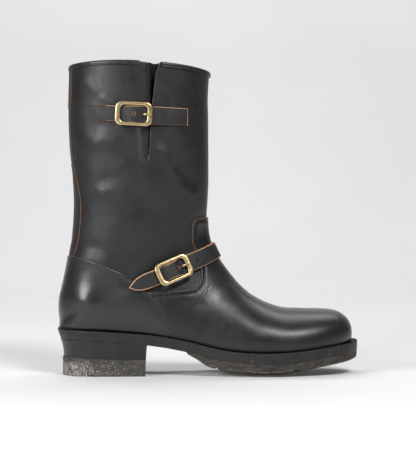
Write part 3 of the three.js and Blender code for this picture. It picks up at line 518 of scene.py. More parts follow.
def add_mesh(name, points, faces, material, replaces=(), attributes=None, parts=None):
    """A piece of the boot from points in millimetres. parts gives each face's material index."""
    mesh = bpy.data.meshes.new(name)
    rows = [tuple(int(i) for i in face) for face in faces]
    mesh.from_pydata((np.asarray(points) * 0.001).tolist(), [], rows)
    materials = material if isinstance(material, (list, tuple)) else [material]
    for m in materials:
        mesh.materials.append(m)
    if parts is not None:
        mesh.polygons.foreach_set("material_index", np.asarray(parts, np.int32))
    for key, values in (attributes or {}).items():
        layer = mesh.attributes.new(key, "FLOAT", "POINT")
        layer.data.foreach_set("value", np.asarray(values, np.float32))
    mesh.polygons.foreach_set("use_smooth", [True] * len(mesh.polygons))
    mesh.update()
    piece = bpy.data.objects.new(name, mesh)
    bpy.context.scene.collection.objects.link(piece)
    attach(piece, "root")
    if replaces:
        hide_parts(*replaces)


def open_edges(tris):
    """The edges that only one triangle has, in that triangle's direction."""
    edges = np.concatenate([tris[:, [0, 1]], tris[:, [1, 2]], tris[:, [2, 0]]])
    keys = np.sort(edges, 1)
    order = np.lexsort((keys[:, 1], keys[:, 0]))
    sorted_keys = keys[order]
    same = (sorted_keys[1:] == sorted_keys[:-1]).all(1)
    single = np.ones(len(edges), bool)
    single[1:] &= ~same
    single[:-1] &= ~same
    return edges[order[single]]


def slab(
    name, uv, tris, edge, high, low, materials, replaces=(), bottom=False, relief_share=1.0, deep=None,
):
    """A piece of leather over the surface: its top, its raw edge wall and, where it stands off, its back."""
    base, normal = on_surface(uv)
    shift = relief(base) * relief_share
    top = base + normal * (high + shift)[:, None]
    foot = base + normal * (low + shift * 0.6)[:, None]
    attributes = {"edge": edge, "deep": np.zeros(len(uv)) if deep is None else deep}
    top, tris, attributes = weld_with(top, foot, tris, attributes)
    top, foot = top
    rim = open_edges(tris)
    count = len(top)
    ids = np.unique(rim)
    slot_of = np.full(count, -1)
    slot_of[ids] = np.arange(len(ids))
    upper_wall = count + slot_of[rim]
    lower_wall = count + len(ids) + slot_of[rim]
    wall = np.concatenate([
        np.stack([upper_wall[:, 1], upper_wall[:, 0], lower_wall[:, 0]], 1),
        np.stack([upper_wall[:, 1], lower_wall[:, 0], lower_wall[:, 1]], 1),
    ])
    points = np.vstack([top, top[ids], foot[ids]])
    faces = [tris, wall]
    parts = [np.zeros(len(tris), int), np.ones(len(wall), int)]
    deep_values = [attributes["deep"], attributes["deep"][ids], attributes["deep"][ids]]
    edge_values = [attributes["edge"], np.zeros(2 * len(ids))]
    if bottom:
        start = len(points)
        points = np.vstack([points, foot])
        faces.append(tris[:, ::-1] + start)
        parts.append(np.full(len(tris), 2, int))
        edge_values.append(attributes["edge"])
        deep_values.append(attributes["deep"])
    add_mesh(
        name, points, np.vstack(faces), materials, replaces,
        {"edge": np.concatenate(edge_values), "deep": np.concatenate(deep_values)}, np.concatenate(parts),
    )


def weld_with(top, foot, tris, attributes, size=1e-3):
    """Joins the points of a sheet that lie in one place, and the points of its back with them."""
    keys = np.round(top / size).astype(np.int64)
    _, first, back = np.unique(keys, axis=0, return_index=True, return_inverse=True)
    tris = back.reshape(-1)[tris]
    whole = (tris[:, 0] != tris[:, 1]) & (tris[:, 1] != tris[:, 2]) & (tris[:, 0] != tris[:, 2])
    return (top[first], foot[first]), tris[whole], {k: v[first] for k, v in attributes.items()}


def level_chains(uv, tris, value, level):
    """Lines over a patch where a value has a level, as lists of parameters."""
    v = value - level
    v[np.abs(v) < 1e-7] = 1e-7
    signs = v[tris] > 0
    cut = tris[(signs.sum(1) == 1) | (signs.sum(1) == 2)]
    points, links = {}, {}
    for tri in cut:
        ends = []
        for a, b in ((0, 1), (1, 2), (2, 0)):
            p, q = sorted((int(tri[a]), int(tri[b])))
            if (v[p] > 0) != (v[q] > 0):
                t = v[p] / (v[p] - v[q])
                points[(p, q)] = uv[p] + t * (uv[q] - uv[p])
                ends.append((p, q))
        if len(ends) == 2:
            links.setdefault(ends[0], []).append(ends[1])
            links.setdefault(ends[1], []).append(ends[0])
    chains, seen = [], set()
    for start in sorted(links, key=lambda key: len(links[key])):
        if start in seen:
            continue
        chain, at = [start], start
        seen.add(start)
        while True:
            following = [key for key in links[at] if key not in seen]
            if not following:
                break
            at = following[0]
            seen.add(at)
            chain.append(at)
        if len(chain) > 5:
            chains.append(np.array([points[key] for key in chain]))
    return chains


def along_line(points, pitch):
    """Indices, as fractions, of even steps along a line."""
    total = lengths_along(points)
    steps = np.arange(0, total[-1], pitch)
    return np.interp(steps, total, np.arange(len(points)))


def at_index(values, index):
    low = np.clip(index.astype(int), 0, len(values) - 2)
    t = (index - low)[:, None]
    return values[low] * (1 - t) + values[low + 1] * t


def tube(path, normals, widths, heights, sides=8):
    """A closed rod along a path, wider or flatter along its length."""
    tangents = unit(np.gradient(path, axis=0))
    across = unit(np.cross(tangents, normals))
    up = unit(np.cross(across, tangents))
    turn = np.arange(sides) * 2 * math.pi / sides
    rings = (
        path[:, None]
        + across[:, None] * (np.cos(turn)[None, :, None] * widths[:, None, None])
        + up[:, None] * (np.sin(turn)[None, :, None] * heights[:, None, None])
    )
    count = len(path)
    index = np.arange(count * sides).reshape(count, sides)
    faces = ring_quads(index).tolist()
    faces.append(index[0, ::-1].tolist())
    faces.append(index[-1].tolist())
    return rings.reshape(-1, 3), faces


stitch_points, stitch_faces = [], []
stitch_total = 0


def sew(points, normals, radius):
    """One stitch: a thread that bows out of the leather between its two holes."""
    global stitch_total
    bow = np.array([-0.32, 0.0, 0.12, 0.12, 0.0, -0.32])
    size = np.array([0.75, 1, 1, 1, 1, 0.75]) * radius
    path = points + normals * bow[:, None]
    ring, faces = tube(path, normals, size, size, 6)
    stitch_points.append(ring)
    stitch_faces.extend([[i + stitch_total for i in face] for face in faces])
    stitch_total += len(ring)


def stitch_line(points, normals, pitch=3.0, length=2.3, radius=0.34, keep=None):
    """Stitches along a line of the surface."""
    total = lengths_along(points)
    for at in along_line(points, pitch):
        middle = np.interp(at, np.arange(len(points)), total)
        offsets = middle + length * np.linspace(0, 1, 6)
        if offsets[-1] > total[-1]:
            continue
        index = np.interp(offsets, total, np.arange(len(points)))
        place, normal = at_index(points, index), at_index(normals, index)
        if keep is not None and not keep(place[0]):
            continue
        sew(place + random.normal(0, 0.03, 3), unit(normal), radius)


class Look:
    """A procedural material, built node by node."""

    def __init__(self, name):
        self.material = bpy.data.materials.new(name)
        self.material.use_nodes = True
        self.tree = self.material.node_tree
        self.tree.nodes.clear()
        self.shader = self.tree.nodes.new("ShaderNodeBsdfPrincipled")
        output = self.tree.nodes.new("ShaderNodeOutputMaterial")
        self.tree.links.new(self.shader.outputs["BSDF"], output.inputs["Surface"])
        self.place = self.tree.nodes.new("ShaderNodeTexCoord").outputs["Object"]

    def shade(self, **values):
        for key, value in values.items():
            self.shader.inputs[key.replace("_", " ")].default_value = value

    def link(self, source, target):
        self.tree.links.new(source, target)

    def noise(self, size, detail=4.0, rough=0.55, stretch=None, warp=0.0):
        """Noise with features of a size in millimetres."""
        node = self.tree.nodes.new("ShaderNodeTexNoise")
        node.inputs["Scale"].default_value = 1000.0 / size
        node.inputs["Detail"].default_value = detail
        node.inputs["Roughness"].default_value = rough
        node.inputs["Distortion"].default_value = warp
        self.link(self.stretched(stretch), node.inputs["Vector"])
        return node.outputs["Fac"]

    def cells(self, size):
        """How far the nearest cell's middle is, for cells of a size in millimetres."""
        node = self.tree.nodes.new("ShaderNodeTexVoronoi")
        node.feature = "F1"
        node.inputs["Scale"].default_value = 1000.0 / size
        self.link(self.place, node.inputs["Vector"])
        return node.outputs["Distance"]

    def stretched(self, stretch):
        if stretch is None:
            return self.place
        node = self.tree.nodes.new("ShaderNodeMapping")
        node.inputs["Scale"].default_value = stretch
        self.link(self.place, node.inputs["Vector"])
        return node.outputs["Vector"]

    def attribute(self, name):
        node = self.tree.nodes.new("ShaderNodeAttribute")
        node.attribute_name = name
        return node.outputs["Fac"]

    def scale(self, source, low, high, to_low=0.0, to_high=1.0):
        node = self.tree.nodes.new("ShaderNodeMapRange")
        node.inputs["From Min"].default_value = low
        node.inputs["From Max"].default_value = high
        node.inputs["To Min"].default_value = to_low
        node.inputs["To Max"].default_value = to_high
        self.link(source, node.inputs["Value"])
        return node.outputs["Result"]

    def math(self, operation, a, b):
        node = self.tree.nodes.new("ShaderNodeMath")
        node.operation = operation
        for socket, source in zip(node.inputs, (a, b)):
            self.link(source, socket)
        return node.outputs["Value"]

    def ramp(self, source, stops):
        node = self.tree.nodes.new("ShaderNodeValToRGB")
        elements = node.color_ramp.elements
        while len(elements) < len(stops):
            elements.new(0.5)
        for element, (position, colour) in zip(elements, stops):
            element.position = position
            element.color = (*colour, 1)
        self.link(source, node.inputs["Fac"])
        return node.outputs["Color"]

    def mix(self, share, a, b):
        node = self.tree.nodes.new("ShaderNodeMix")
        node.data_type = "RGBA"
        self.link(share, node.inputs["Factor"])
        for socket, value in ((node.inputs[6], a), (node.inputs[7], b)):
            if isinstance(value, tuple):
                socket.default_value = (*value, 1)
            else:
                self.link(value, socket)
        return node.outputs[2]

    def colour(self, source):
        self.link(source, self.shader.inputs["Base Color"])

    def roughness(self, source):
        self.link(source, self.shader.inputs["Roughness"])

    def bump(self, *layers):
        """Bump layers: a source and its height in millimetres."""
        last = None
        for source, height in layers:
            node = self.tree.nodes.new("ShaderNodeBump")
            node.inputs["Strength"].default_value = 1.0
            node.inputs["Distance"].default_value = height * 0.001
            self.link(source, node.inputs["Height"])
            if last is not None:
                self.link(last, node.inputs["Normal"])
            last = node.outputs["Normal"]
        self.link(last, self.shader.inputs["Normal"])


def black_leather(
    name, tone=1.0, rough=(0.36, 0.5), coat=0.2, grain=0.05, raw=(0.15, 0.075, 0.036), sharp=0.0,
):
    """Smooth black leather with a fine grain, dull patches and brown raw edges. The deep attribute paints
    shade into creases and grooves: near black, with little shine.
    """
    look = Look(name)
    look.shade(Coat_Roughness=0.3)
    cloud = look.noise(28, 5, 0.6)
    patches = look.noise(7, 4, 0.6)
    dark, light = (0.0115, 0.0112, 0.0118), (0.021, 0.020, 0.021)
    base = look.ramp(cloud, [(0.3, [tone * c for c in dark]), (0.7, [tone * c for c in light])])
    spread = 0.3 - 0.2 * sharp
    fray = look.scale(look.noise(2.2, 3), 0.3, 0.7, -spread, spread)
    worn = look.math("ADD", look.attribute("edge"), fray)
    share = look.scale(worn, 0.1 + 0.25 * sharp, 0.5, 0.85, 0.0)
    # painted shade: where deep is set, the colour goes near black and the specular and coat fall away
    deep = look.attribute("deep")
    look.colour(look.mix(deep, look.mix(share, base, raw), (0.003, 0.003, 0.003)))
    look.link(look.scale(deep, 0.0, 1.0, 0.42, 0.04), look.shader.inputs["Specular IOR Level"])
    dull = look.math("ADD", deep, share)
    look.link(look.scale(dull, 0.0, 0.6, coat, 0.0), look.shader.inputs["Coat Weight"])
    look.roughness(look.scale(look.math("ADD", cloud, patches), 0.7, 1.3, *rough))
    fine, broad = look.noise(1.3, 3, 0.6), look.noise(4.5, 3)
    look.bump((look.cells(0.75), grain), (fine, grain), (broad, grain * 2))
    return look.material


def raw_edge(name, tone=1.0):
    """The cut edge of brown leather."""
    look = Look(name)
    look.shade(Roughness=0.75, Specular_IOR_Level=0.3)
    dark, light = (0.06, 0.03, 0.014), (0.22, 0.115, 0.055)
    stops = [(0.3, [tone * c for c in dark]), (0.7, [tone * c for c in light])]
    look.colour(look.ramp(look.noise(1.6, 4, 0.7), stops))
    look.bump((look.noise(0.6, 3), 0.12))
    return look.material


def plain_leather(name, dark, light, rough=0.7):
    """Dull leather or thread in two tones."""
    look = Look(name)
    look.shade(Roughness=rough, Specular_IOR_Level=0.3)
    look.colour(look.ramp(look.noise(9, 5, 0.65), [(0.3, dark), (0.7, light)]))
    look.bump((look.noise(0.9, 3), 0.1))
    return look.material


shaft_leather = black_leather("shaft_leather_black", rough=(0.38, 0.5), coat=0.0)
counter_leather = black_leather("counter_leather_black", rough=(0.28, 0.38), coat=0.5)
vamp_leather = black_leather("vamp_leather_black", rough=(0.3, 0.42), coat=0.15, grain=0.035)
strap_leather = black_leather(
    "strap_leather_black", tone=1.2, rough=(0.52, 0.66), coat=0.0, raw=(0.60, 0.33, 0.18), sharp=1.0,
)
binding_leather = black_leather("binding_leather_black", rough=(0.33, 0.45))
edge_brown = raw_edge("raw_edge_brown")
edge_dark = raw_edge("raw_edge_dark", 0.35)
strap_edge = raw_edge("strap_edge_brown", 2.4)
lining_tan = plain_leather("lining_tan", (0.10, 0.055, 0.03), (0.2, 0.12, 0.07))
insole_tan = plain_leather("insole_tan", (0.16, 0.09, 0.05), (0.26, 0.16, 0.1))
gusset_black = plain_leather("gusset_black", (0.012, 0.011, 0.011), (0.022, 0.02, 0.02), 0.6)
thread_black = plain_leather("thread_black", (0.02, 0.02, 0.02), (0.05, 0.048, 0.045), 0.6)


def foot_value(uv):
    points = surface(uv[:, 0], uv[:, 1])
    return points[:, 2] - seat_at(points[:, 0]) + 1.5


def shaft_value(uv):
    side, y = side_points(uv)
    return np.where(y < 0, -outline_distance(side, slit_edge, slit_form), FAR)


def vamp_distance(uv):
    return outline_distance(side_points(uv)[0], vamp_line, vamp_form)


def counter_distance(uv):
    return outline_distance(side_points(uv)[0], counter_line, counter_form)


def stay_distance(uv):
    return outline_distance(side_points(uv)[0], stay_line, stay_form)


TUCK = 2.5


def vamp_value(uv):
    return np.minimum(vamp_distance(uv), TUCK - counter_distance(uv))


def stay_value(uv):
    return np.minimum(stay_distance(uv), TUCK - counter_distance(uv))


def crease_shade(uv):
    """How deep in the crease above the welt the leather lies, from 0 to 1: the share of painted shade there.
    """
    points = surface(uv[:, 0], uv[:, 1])
    return 1 - ease(1.2, 4.2, points[:, 2] - seat_at(points[:, 0]))


def cut_panel(places, angles, values, shoulders=(), main=None):
    """A grid patch cut to a panel's form, with rows of points along its rounded shoulder."""
    uv, tris = patch(places, angles)
    for value_of in values:
        uv, tris = split_at(uv, tris, value_of, 0.0)
        uv, tris = trim(uv, tris, value_of)
    for level in shoulders:
        uv, tris = split_at(uv, tris, main, level)
    return uv, tris


def shoulder(distance, reach=1.0, drop=0.55):
    """A rounded edge: how far a panel's top falls near its edge."""
    t = np.clip(distance / reach, 0, 1)
    return drop * (1 - np.sqrt(1 - (1 - t) ** 2))


def row_groove(distance, rows, depth=0.28, width=0.55):
    return -sum(depth * np.exp(-(((distance - row) / width) ** 2)) for row in rows)


FINE = 1.35

# The shaft, with its slit on the outer side and its lining.
SHAFT_START = 9.0
places = even_places(SHAFT_START, COLLAR, FINE * 1.05)
angles = even_angles(-math.pi, math.pi, FINE * 1.05)
uv, tris = cut_panel(places, angles, [shaft_value, foot_value], (0.6,), shaft_value)
edge = np.minimum(shaft_value(uv), 9.0)
side, y = side_points(uv)
tip = np.hypot(side[:, 0] - length_of(0.2986), side[:, 1] - HEIGHT * 0.69) < 5
rolled = ease(0.85, 0.93, side[:, 1] / HEIGHT) * (side[:, 0] < length_of(0.302)) * (y < 0)
high = -shoulder(edge, 0.9 + 1.2 * rolled, 0.4 + 0.5 * rolled)
slab(
    "shaft", uv, tris, np.where(tip, edge, edge + 3), high, -WALL, [shaft_leather, edge_dark, lining_tan],
    ("upper",), bottom=True,
)

# The lining of the foot.
uv, tris = patch(even_places(0, SHAFT_START, 5), even_angles(-math.pi, math.pi, 5))
base, normal = on_surface(uv)
base = base - normal * WALL
add_mesh("foot_lining", base, tris[:, ::-1], lining_tan)

PANEL = GAP + OVERLAY
PANEL_FOOT = -0.6
VAMP_ROWS = (2.6, 4.6)
COUNTER_ROWS = (2.8, 4.8)
STAY_ROWS = (2.4,)
STAY_HIGH = 1.0

# The vamp.
places = even_places(0.02, 18.3, FINE)
angles = even_angles(-math.pi, math.pi, FINE, (2, 5, 8, 11))
uv, tris = cut_panel(places, angles, [vamp_value, foot_value], (0.3, 1.0), vamp_distance)
distance = vamp_distance(uv)
tucked = ease(-1.5, 1.0, counter_distance(uv)) * 1.1
high = PANEL - shoulder(distance) - tucked + row_groove(distance, VAMP_ROWS)
high -= 0.45 * np.exp(-(((distance - 3.3) / 1.1) ** 2))
# painted shade: near black, without shine, in the crease above the welt and along the groove inside the
# vamp's edge
deep = np.maximum(crease_shade(uv), 0.75 * np.exp(-(((distance - 3.3) / 0.8) ** 2)))
looks = [vamp_leather, edge_brown]
slab("vamp", uv, tris, distance, high, PANEL_FOOT, looks, ("vamp",), deep=deep)
panel_patches = {"vamp": (uv, tris, distance)}

# The counter round the heel.
places = even_places(9, 20.2, FINE)
angles = even_angles(0.25 * math.pi, 1.75 * math.pi, FINE, (10, 13, 16, 19))
uv, tris = cut_panel(places, angles, [counter_distance, foot_value], (0.3, 1.0), counter_distance)
distance = counter_distance(uv)
high = PANEL - shoulder(distance) + row_groove(distance, COUNTER_ROWS)
# painted shade in the crease above the welt: near black, without shine
deep = crease_shade(uv)
looks = [counter_leather, edge_brown]
slab("counter", uv, tris, distance * 1.2, high, PANEL_FOOT, looks, ("counter",), deep=deep)
panel_patches["counter"] = (uv, tris, distance)

# The back stay.
places = even_places(16, COLLAR, FINE)
angles = even_angles(0.55 * math.pi, 1.45 * math.pi, FINE, (17, 20, 23))
uv, tris = cut_panel(places, angles, [stay_value], (0.3, 1.0), stay_distance)
distance = stay_distance(uv)
tucked = ease(-1.5, 1.0, counter_distance(uv)) * 1.1
high = STAY_HIGH - shoulder(distance, 0.7, 0.35) - tucked + row_groove(distance, STAY_ROWS, 0.2)
looks = [shaft_leather, edge_brown]
slab("back_stay", uv, tris, distance, high, PANEL_FOOT, looks, ("back_stay",))
panel_patches["back_stay"] = (uv, tris, distance)


def panel_rows(name, rows, pitch, keep=None):
    """Stitches along rows inside a panel's edge."""
    uv, tris, distance = panel_patches[name]
    for row in rows:
        for chain in level_chains(uv, tris, distance.copy(), row):
            base, normal = on_surface(chain)
            top = (STAY_HIGH if name == "back_stay" else PANEL) - 0.12
            lifted = base + normal * (top + relief(base))[:, None]
            stitch_line(lifted, normal, pitch, keep=keep)


def outside_of_counter(point):
    return outline_distance(point[None, [0, 2]], counter_line, counter_form)[0] < -1


panel_rows("vamp", VAMP_ROWS, 3.0, outside_of_counter)
panel_rows("counter", COUNTER_ROWS, 3.0)
panel_rows("back_stay", STAY_ROWS, 3.0, outside_of_counter)

# The binding round the collar, from the slit's front edge round the back to its rear edge.
BINDING_START = -1.318
BINDING_END = 2 * math.pi - 1.585


def binding():
    angles = even_angles(BINDING_START, BINDING_END, 1.3, (COLLAR,))
    profile = np.array([
        [0.2, -4.1], [1.2, -4.0], [1.55, -3.6], [1.2, -3.25], [1.4, -2.2], [1.45, -1.0], [1.2, 0.0],
        [0.5, 0.75], [-0.9, 1.0], [-2.2, 0.7], [-2.9, 0.0], [-3.15, -1.2], [-3.1, -2.6], [-2.7, -3.7],
        [-2.0, -3.9],
    ])
    count = len(angles)
    place = np.full(count, float(COLLAR))
    rim = surface(place, angles)
    normal = surface_normal(place, angles)
    up = unit(rim - surface(place - 0.05, angles))
    shift = relief(rim)
    ripple = 0.12 * np.sin(np.arange(count) * 0.9) * random.uniform(0.4, 1, count)
    rings = []
    for lift, along in profile:
        out = np.clip((lift + 3.15) / 4.65, 0, 1)
        rings.append(rim + normal * (lift + shift * out + ripple * (lift > 1.2))[:, None] + up * along)
    points = np.stack(rings, 1)
    width = len(profile)
    index = np.arange(count * width).reshape(count, width)
    faces = np.roll(quads(index), -1, 1).tolist() + [index[0].tolist(), index[-1, ::-1].tolist()]
    flat = points.reshape(-1, 3)
    fields = {"edge": np.full(len(flat), 3.0), "deep": np.zeros(len(flat))}
    add_mesh("top_binding", flat, faces, binding_leather, ("top_binding",), fields)
    row = rim + normal * (1.42 + shift)[:, None] - up * 2.6
    stitch_line(row, normal, 2.9, 2.2, 0.3)


binding()

# The gusset folds inwards behind the slit.
GUSSET_LEFT = 0.262
GUSSET_RIGHT = 0.352
GUSSET_FOOT = 0.66


def gusset():
    rows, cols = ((90, 46))
    shares = np.linspace(GUSSET_LEFT, GUSSET_RIGHT, cols)
    heights = np.linspace(GUSSET_FOOT, 0.992, rows)
    outer_places = np.linspace(19, COLLAR, 400)
    points = np.zeros((rows, cols, 3))
    for j, share in enumerate(shares):
        s = section_values(outer_places)
        across = (share - s["backX"]) / (s["topX"] - s["backX"])
        widest = s["widest"]
        front = across > widest
        along = np.where(front, (across - widest) / (1 - widest), across / widest - 1)
        form = np.where(front, s["topForm"], s["backForm"])
        cos = np.sign(along) * np.abs(along) ** (form / 2)
        angle = -np.arccos(np.clip(cos, -1, 1))
        line = surface(outer_places, angle)
        normal = surface_normal(outer_places, angle)
        z = line[:, 2] / HEIGHT
        for i, height in enumerate(heights):
            base = np.array([np.interp(height, z, line[:, k]) for k in range(3)])
            base[2] = HEIGHT * height
            out = unit(np.array([np.interp(height, z, normal[:, k]) for k in range(3)]))
            t = (share - GUSSET_LEFT) / (GUSSET_RIGHT - GUSSET_LEFT)
            opened = ease(0.7, 0.95, height)
            fold = (2.5 + 10 * opened) * ease(0.42, 0.66, t) * (1 - ease(0.74, 0.9, t))
            lip = 1.1 * ease(0.05, 0.2, t) * (1 - ease(0.36, 0.5, t)) * opened
            points[i, j] = base - out * (WALL + 0.5 + fold - lip)
    index = np.arange(rows * cols).reshape(rows, cols)
    faces = quads(index)
    flat = points.reshape(-1, 3)
    inner = flat + np.array([0, 0.9, 0])
    both = faces.tolist() + (faces[:, ::-1] + len(flat)).tolist()
    for ring in (index[0], index[-1], index[:, 0], index[:, -1]):
        for a, b in zip(ring[:-1], ring[1:]):
            both.append([int(a), int(b), int(b) + len(flat), int(a) + len(flat)])
    add_mesh("gusset", np.vstack([flat, inner]), both, gusset_black, ("gusset",))


gusset()


class BuckleFrame:
    """A buckle's own frame: along the strap, across it, and out of the boot."""

    def __init__(self, buckle):
        place, angle = np.array([buckle["section"]]), np.array([buckle["angle"]])
        self.buckle = buckle
        self.out = surface_normal(place, angle)[0]
        slope = buckle["slope"]
        self.along = unit(np.array([1, -(self.out[0] + self.out[2] * slope) / self.out[1], slope]))
        self.across = np.cross(self.out, self.along)
        self.middle = surface(place, angle)[0] + self.out * buckle["lift"]

    def world(self, points):
        points = np.asarray(points, float)
        axes = np.stack([self.along, self.across, self.out])
        return self.middle + points @ axes

    def local(self, points):
        away = points - self.middle
        return np.stack([away @ self.along, away @ self.across, away @ self.out], -1)

    def strap_lift(self, base):
        """How far the strap stands off: it lies low at its ends and rises over the middle bar."""
        b = self.buckle
        along = self.local(base)[:, 0]
        raised = ease(*b["rise"], along) * (1 - ease(*b["fall"], along))
        reach = np.abs(along) < STRAP_ARCH
        arch = np.where(reach, (1 + np.cos(math.pi * along / STRAP_ARCH)) / 2, 0)
        rise = b["lift"] - HINGE_DROP + HINGE_DEPTH + ARCH_CLEAR - b["strap"]
        return b["low"] + (b["strap"] - b["low"]) * raised + arch * rise


top_frame = BuckleFrame(TOP_BUCKLE)
instep_frame = BuckleFrame(INSTEP_BUCKLE)

top_form = to_side(TOP_STRAP)
top_edge = np.vstack([top_form, top_form[:1]])
instep_form = np.vstack([
    smooth_line(to_side(INSTEP_STRAP_TOP), 70), smooth_line(to_side(INSTEP_STRAP_FOOT), 70),
])
instep_edge = np.vstack([instep_form, instep_form[:1]])


def top_strap_value(uv):
    side, y = side_points(uv)
    return np.where(y < 0, outline_distance(side, top_edge, top_form), -FAR)


def instep_strap_value(uv):
    side, y = side_points(uv)
    value = outline_distance(side, instep_edge, instep_form)
    past = side[:, 0] - length_of(INSTEP_STRAP_END)
    return np.where(y < 0, value, np.minimum(value, past))


# A strap is at its tip below this length from its buckle.
STRAP_TIP = -27


def strap(name, places, angles, value_of, buckle_frame, holes, replaces, soft, raw):
    """A strap. raw: widths of its raw edge above, below and below past the buckle, then the length past
    which the next width holds, and the width at the tip."""
    uv, tris = cut_panel(places, angles, [value_of], (0.35, 0.9), value_of)
    distance = value_of(uv)
    base = surface(uv[:, 0], uv[:, 1])
    lift = buckle_frame.strap_lift(base)
    crease = 0.16 * np.exp(-(((distance - 1.9) / 0.4) ** 2))
    local = buckle_frame.local(base)
    x, y = local[:, 0], local[:, 1]
    wave = 0.12 * np.sin(x / 3.1 + np.sin(y / 4)) * np.sin(y / 5 + x / 9)
    pinch = np.zeros(len(uv))
    for along, across, size in holes:
        away = np.hypot(x - along, y - across)
        pinch -= 0.35 * np.exp(-((away / (size * 1.3)) ** 2))
    crown = 0.25 * np.clip(distance / 8, 0, 1)
    high = lift + STRAP - shoulder(distance, 0.95, 0.75) - crease + wave + pinch + crown
    wide = np.where(y > 0, *raw[:2])
    wide = np.where((y < 0) & (x > 10), raw[2], wide)
    wide = np.where(x > raw[3], raw[4], wide)
    wide = np.where(x < STRAP_TIP, raw[5], wide)
    slab(
        name, uv, tris, distance / (2 * wide), high, lift, [strap_leather, strap_edge, edge_dark],
        replaces, bottom=True, relief_share=soft,
    )
    return uv, high


step = 0.8
top_uv, top_high = strap(
    "top_strap", even_places(21, 23.7, step), even_angles(-2.9, -0.3, step, (21, 22, 23)), top_strap_value,
    top_frame, [(0, 0, 1.6), (10, 0, 1.6)], ("top_strap", "top_chape"), 0.3,
    (0.75, 0.4, 0.12, 52.4, 1.7, 0.12),
)
instep_uv, instep_high = strap(
    "instep_strap", even_places(10, 16.4, step * 1.1), even_angles(-2.5, 2.6, step * 1.1, (11, 13, 15)),
    instep_strap_value, instep_frame, [(4, 0, 1.6), (12, 0, 1.6), (27, 0, 1.6)],
    ("instep_strap", "instep_chape"), 0.2, (1.1, 0.7, 0.6, 400, 1.0, 1.1),
)


def strap_top(buckle_frame, uv, high, along, across):
    """The strap's top at a point of a buckle's frame, with the way out of it."""
    base, normal = on_surface(uv)
    top = base + normal * high[:, None]
    local = buckle_frame.local(top)
    away = np.hypot(local[:, 0] - along, local[:, 1] - across)
    near = np.argsort(away + 50 * (local[:, 2] < -12))[:8]
    return top[near].mean(0), unit(normal[near].mean(0))


brass_look = Look("buckle_brass_aged")
brass_look.shade(Metallic=1.0)
brass_look.colour(brass_look.ramp(brass_look.noise(3.2, 5, 0.65), [
    (0.25, (0.24, 0.165, 0.085)), (0.42, (0.54, 0.41, 0.215)), (0.7, (0.72, 0.57, 0.32)),
]))
brass_look.roughness(brass_look.scale(brass_look.noise(2.4, 4, 0.6), 0.3, 0.7, 0.3, 0.44))
brass_look.bump((brass_look.noise(1.1, 4, 0.6), 0.03), (brass_look.noise(5, 3), 0.1))
brass = brass_look.material


def rounded_loop(width, height, corner, bow, count):
    """A rounded rectangle whose ends bow outwards, as points from its middle."""
    x, y = width / 2, height / 2
    turn = np.linspace(0, math.pi / 2, 9)
    corners = []
    for cx, cy, start in ((x, y, 0), (-x, y, 1), (-x, -y, 2), (x, -y, 3)):
        angle = turn + start * math.pi / 2
        centre = np.array([cx - math.copysign(corner, cx), cy - math.copysign(corner, cy)])
        corners.append(centre + corner * np.stack([np.cos(angle), np.sin(angle)], 1))
    loop = np.vstack(corners + [corners[0][:1]])
    total = lengths_along(loop)
    steps = np.linspace(0, total[-1], count, endpoint=False)
    loop = np.stack([np.interp(steps, total, loop[:, k]) for k in (0, 1)], 1)
    end = ease(x * 0.5, x, np.abs(loop[:, 0])) * (1 - (loop[:, 1] / y) ** 2)
    loop[:, 0] += np.sign(loop[:, 0]) * bow * end
    return loop


BUCKLE_SIZE = (36.2, 23.8)
BUCKLE_HOLE = (25.8, 17.0)


def buckle(name, buckle_frame, replaces):
    count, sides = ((144, 18))
    width, height = BUCKLE_SIZE
    outer = rounded_loop(width, height, 5.6, 0.7, count)
    inner = rounded_loop(*BUCKLE_HOLE, 3.6, 0.5, count)
    turn = np.arange(sides) * 2 * math.pi / sides
    cos, sin = np.cos(turn), np.sin(turn)
    side = (np.sign(cos) * np.abs(cos) ** 0.75)[None, :, None]
    rise = np.sign(sin) * np.abs(sin) ** 0.8
    middle, half = (outer + inner)[:, None] / 2, (outer - inner)[:, None] / 2
    flat = middle + half * side
    z = np.broadcast_to(BUCKLE_DEPTH / 2 * (1 + rise), flat.shape[:2])
    bend = 0.45 * (flat[..., 0] / (width / 2)) ** 2
    points = np.concatenate([flat, (z - bend)[..., None]], -1)
    index = np.arange(count * sides).reshape(count, sides)
    next_ring, next_side = np.roll(index, -1, 0), np.roll(index, -1, 1)
    corner = np.roll(next_ring, -1, 1)
    faces = np.stack([index, next_ring, corner, next_side], -1).reshape(-1, 4).tolist()
    reach = BUCKLE_HOLE[1] / 2 + 1.2
    t = np.linspace(-1, 1, 25)
    path = np.stack([0 * t, t * reach, -0.8 + 1.9 * np.abs(t) ** 8], 1)
    size = np.full(25, 0.9)
    rod, rod_faces = tube(path, np.tile([0.0, 0, 1], (25, 1)), size, size, 12)
    start = count * sides
    world = buckle_frame.world(np.vstack([points.reshape(-1, 3), rod]))
    faces += [[i + start for i in face] for face in rod_faces]
    add_mesh(name, world, faces, brass, replaces)


def prong(name, buckle_frame, replaces):
    x = np.array([1.0, 3.0, 5.0, 7.0, 8.6, 9.8, 11.4, 13.2, 15.4, 16.8, 17.6])
    z = np.array([-3.6, -3.4, -3.0, -2.0, 0.2, 2.0, 3.2, 3.7, 3.8, 3.7, 3.3])
    path = smooth_line(np.stack([x, 0 * x, z], 1), 40)
    t = np.linspace(0, 1, 40)
    width = 1.35 - 0.45 * t
    height = 0.95 - 0.25 * t
    for size in (width, height):
        size[-3:] *= (0.9, 0.7, 0.35)
    rod, faces = tube(path, np.tile([0.0, 0, 1], (40, 1)), width, height, 14)
    add_mesh(name, buckle_frame.world(rod), faces, brass, replaces)


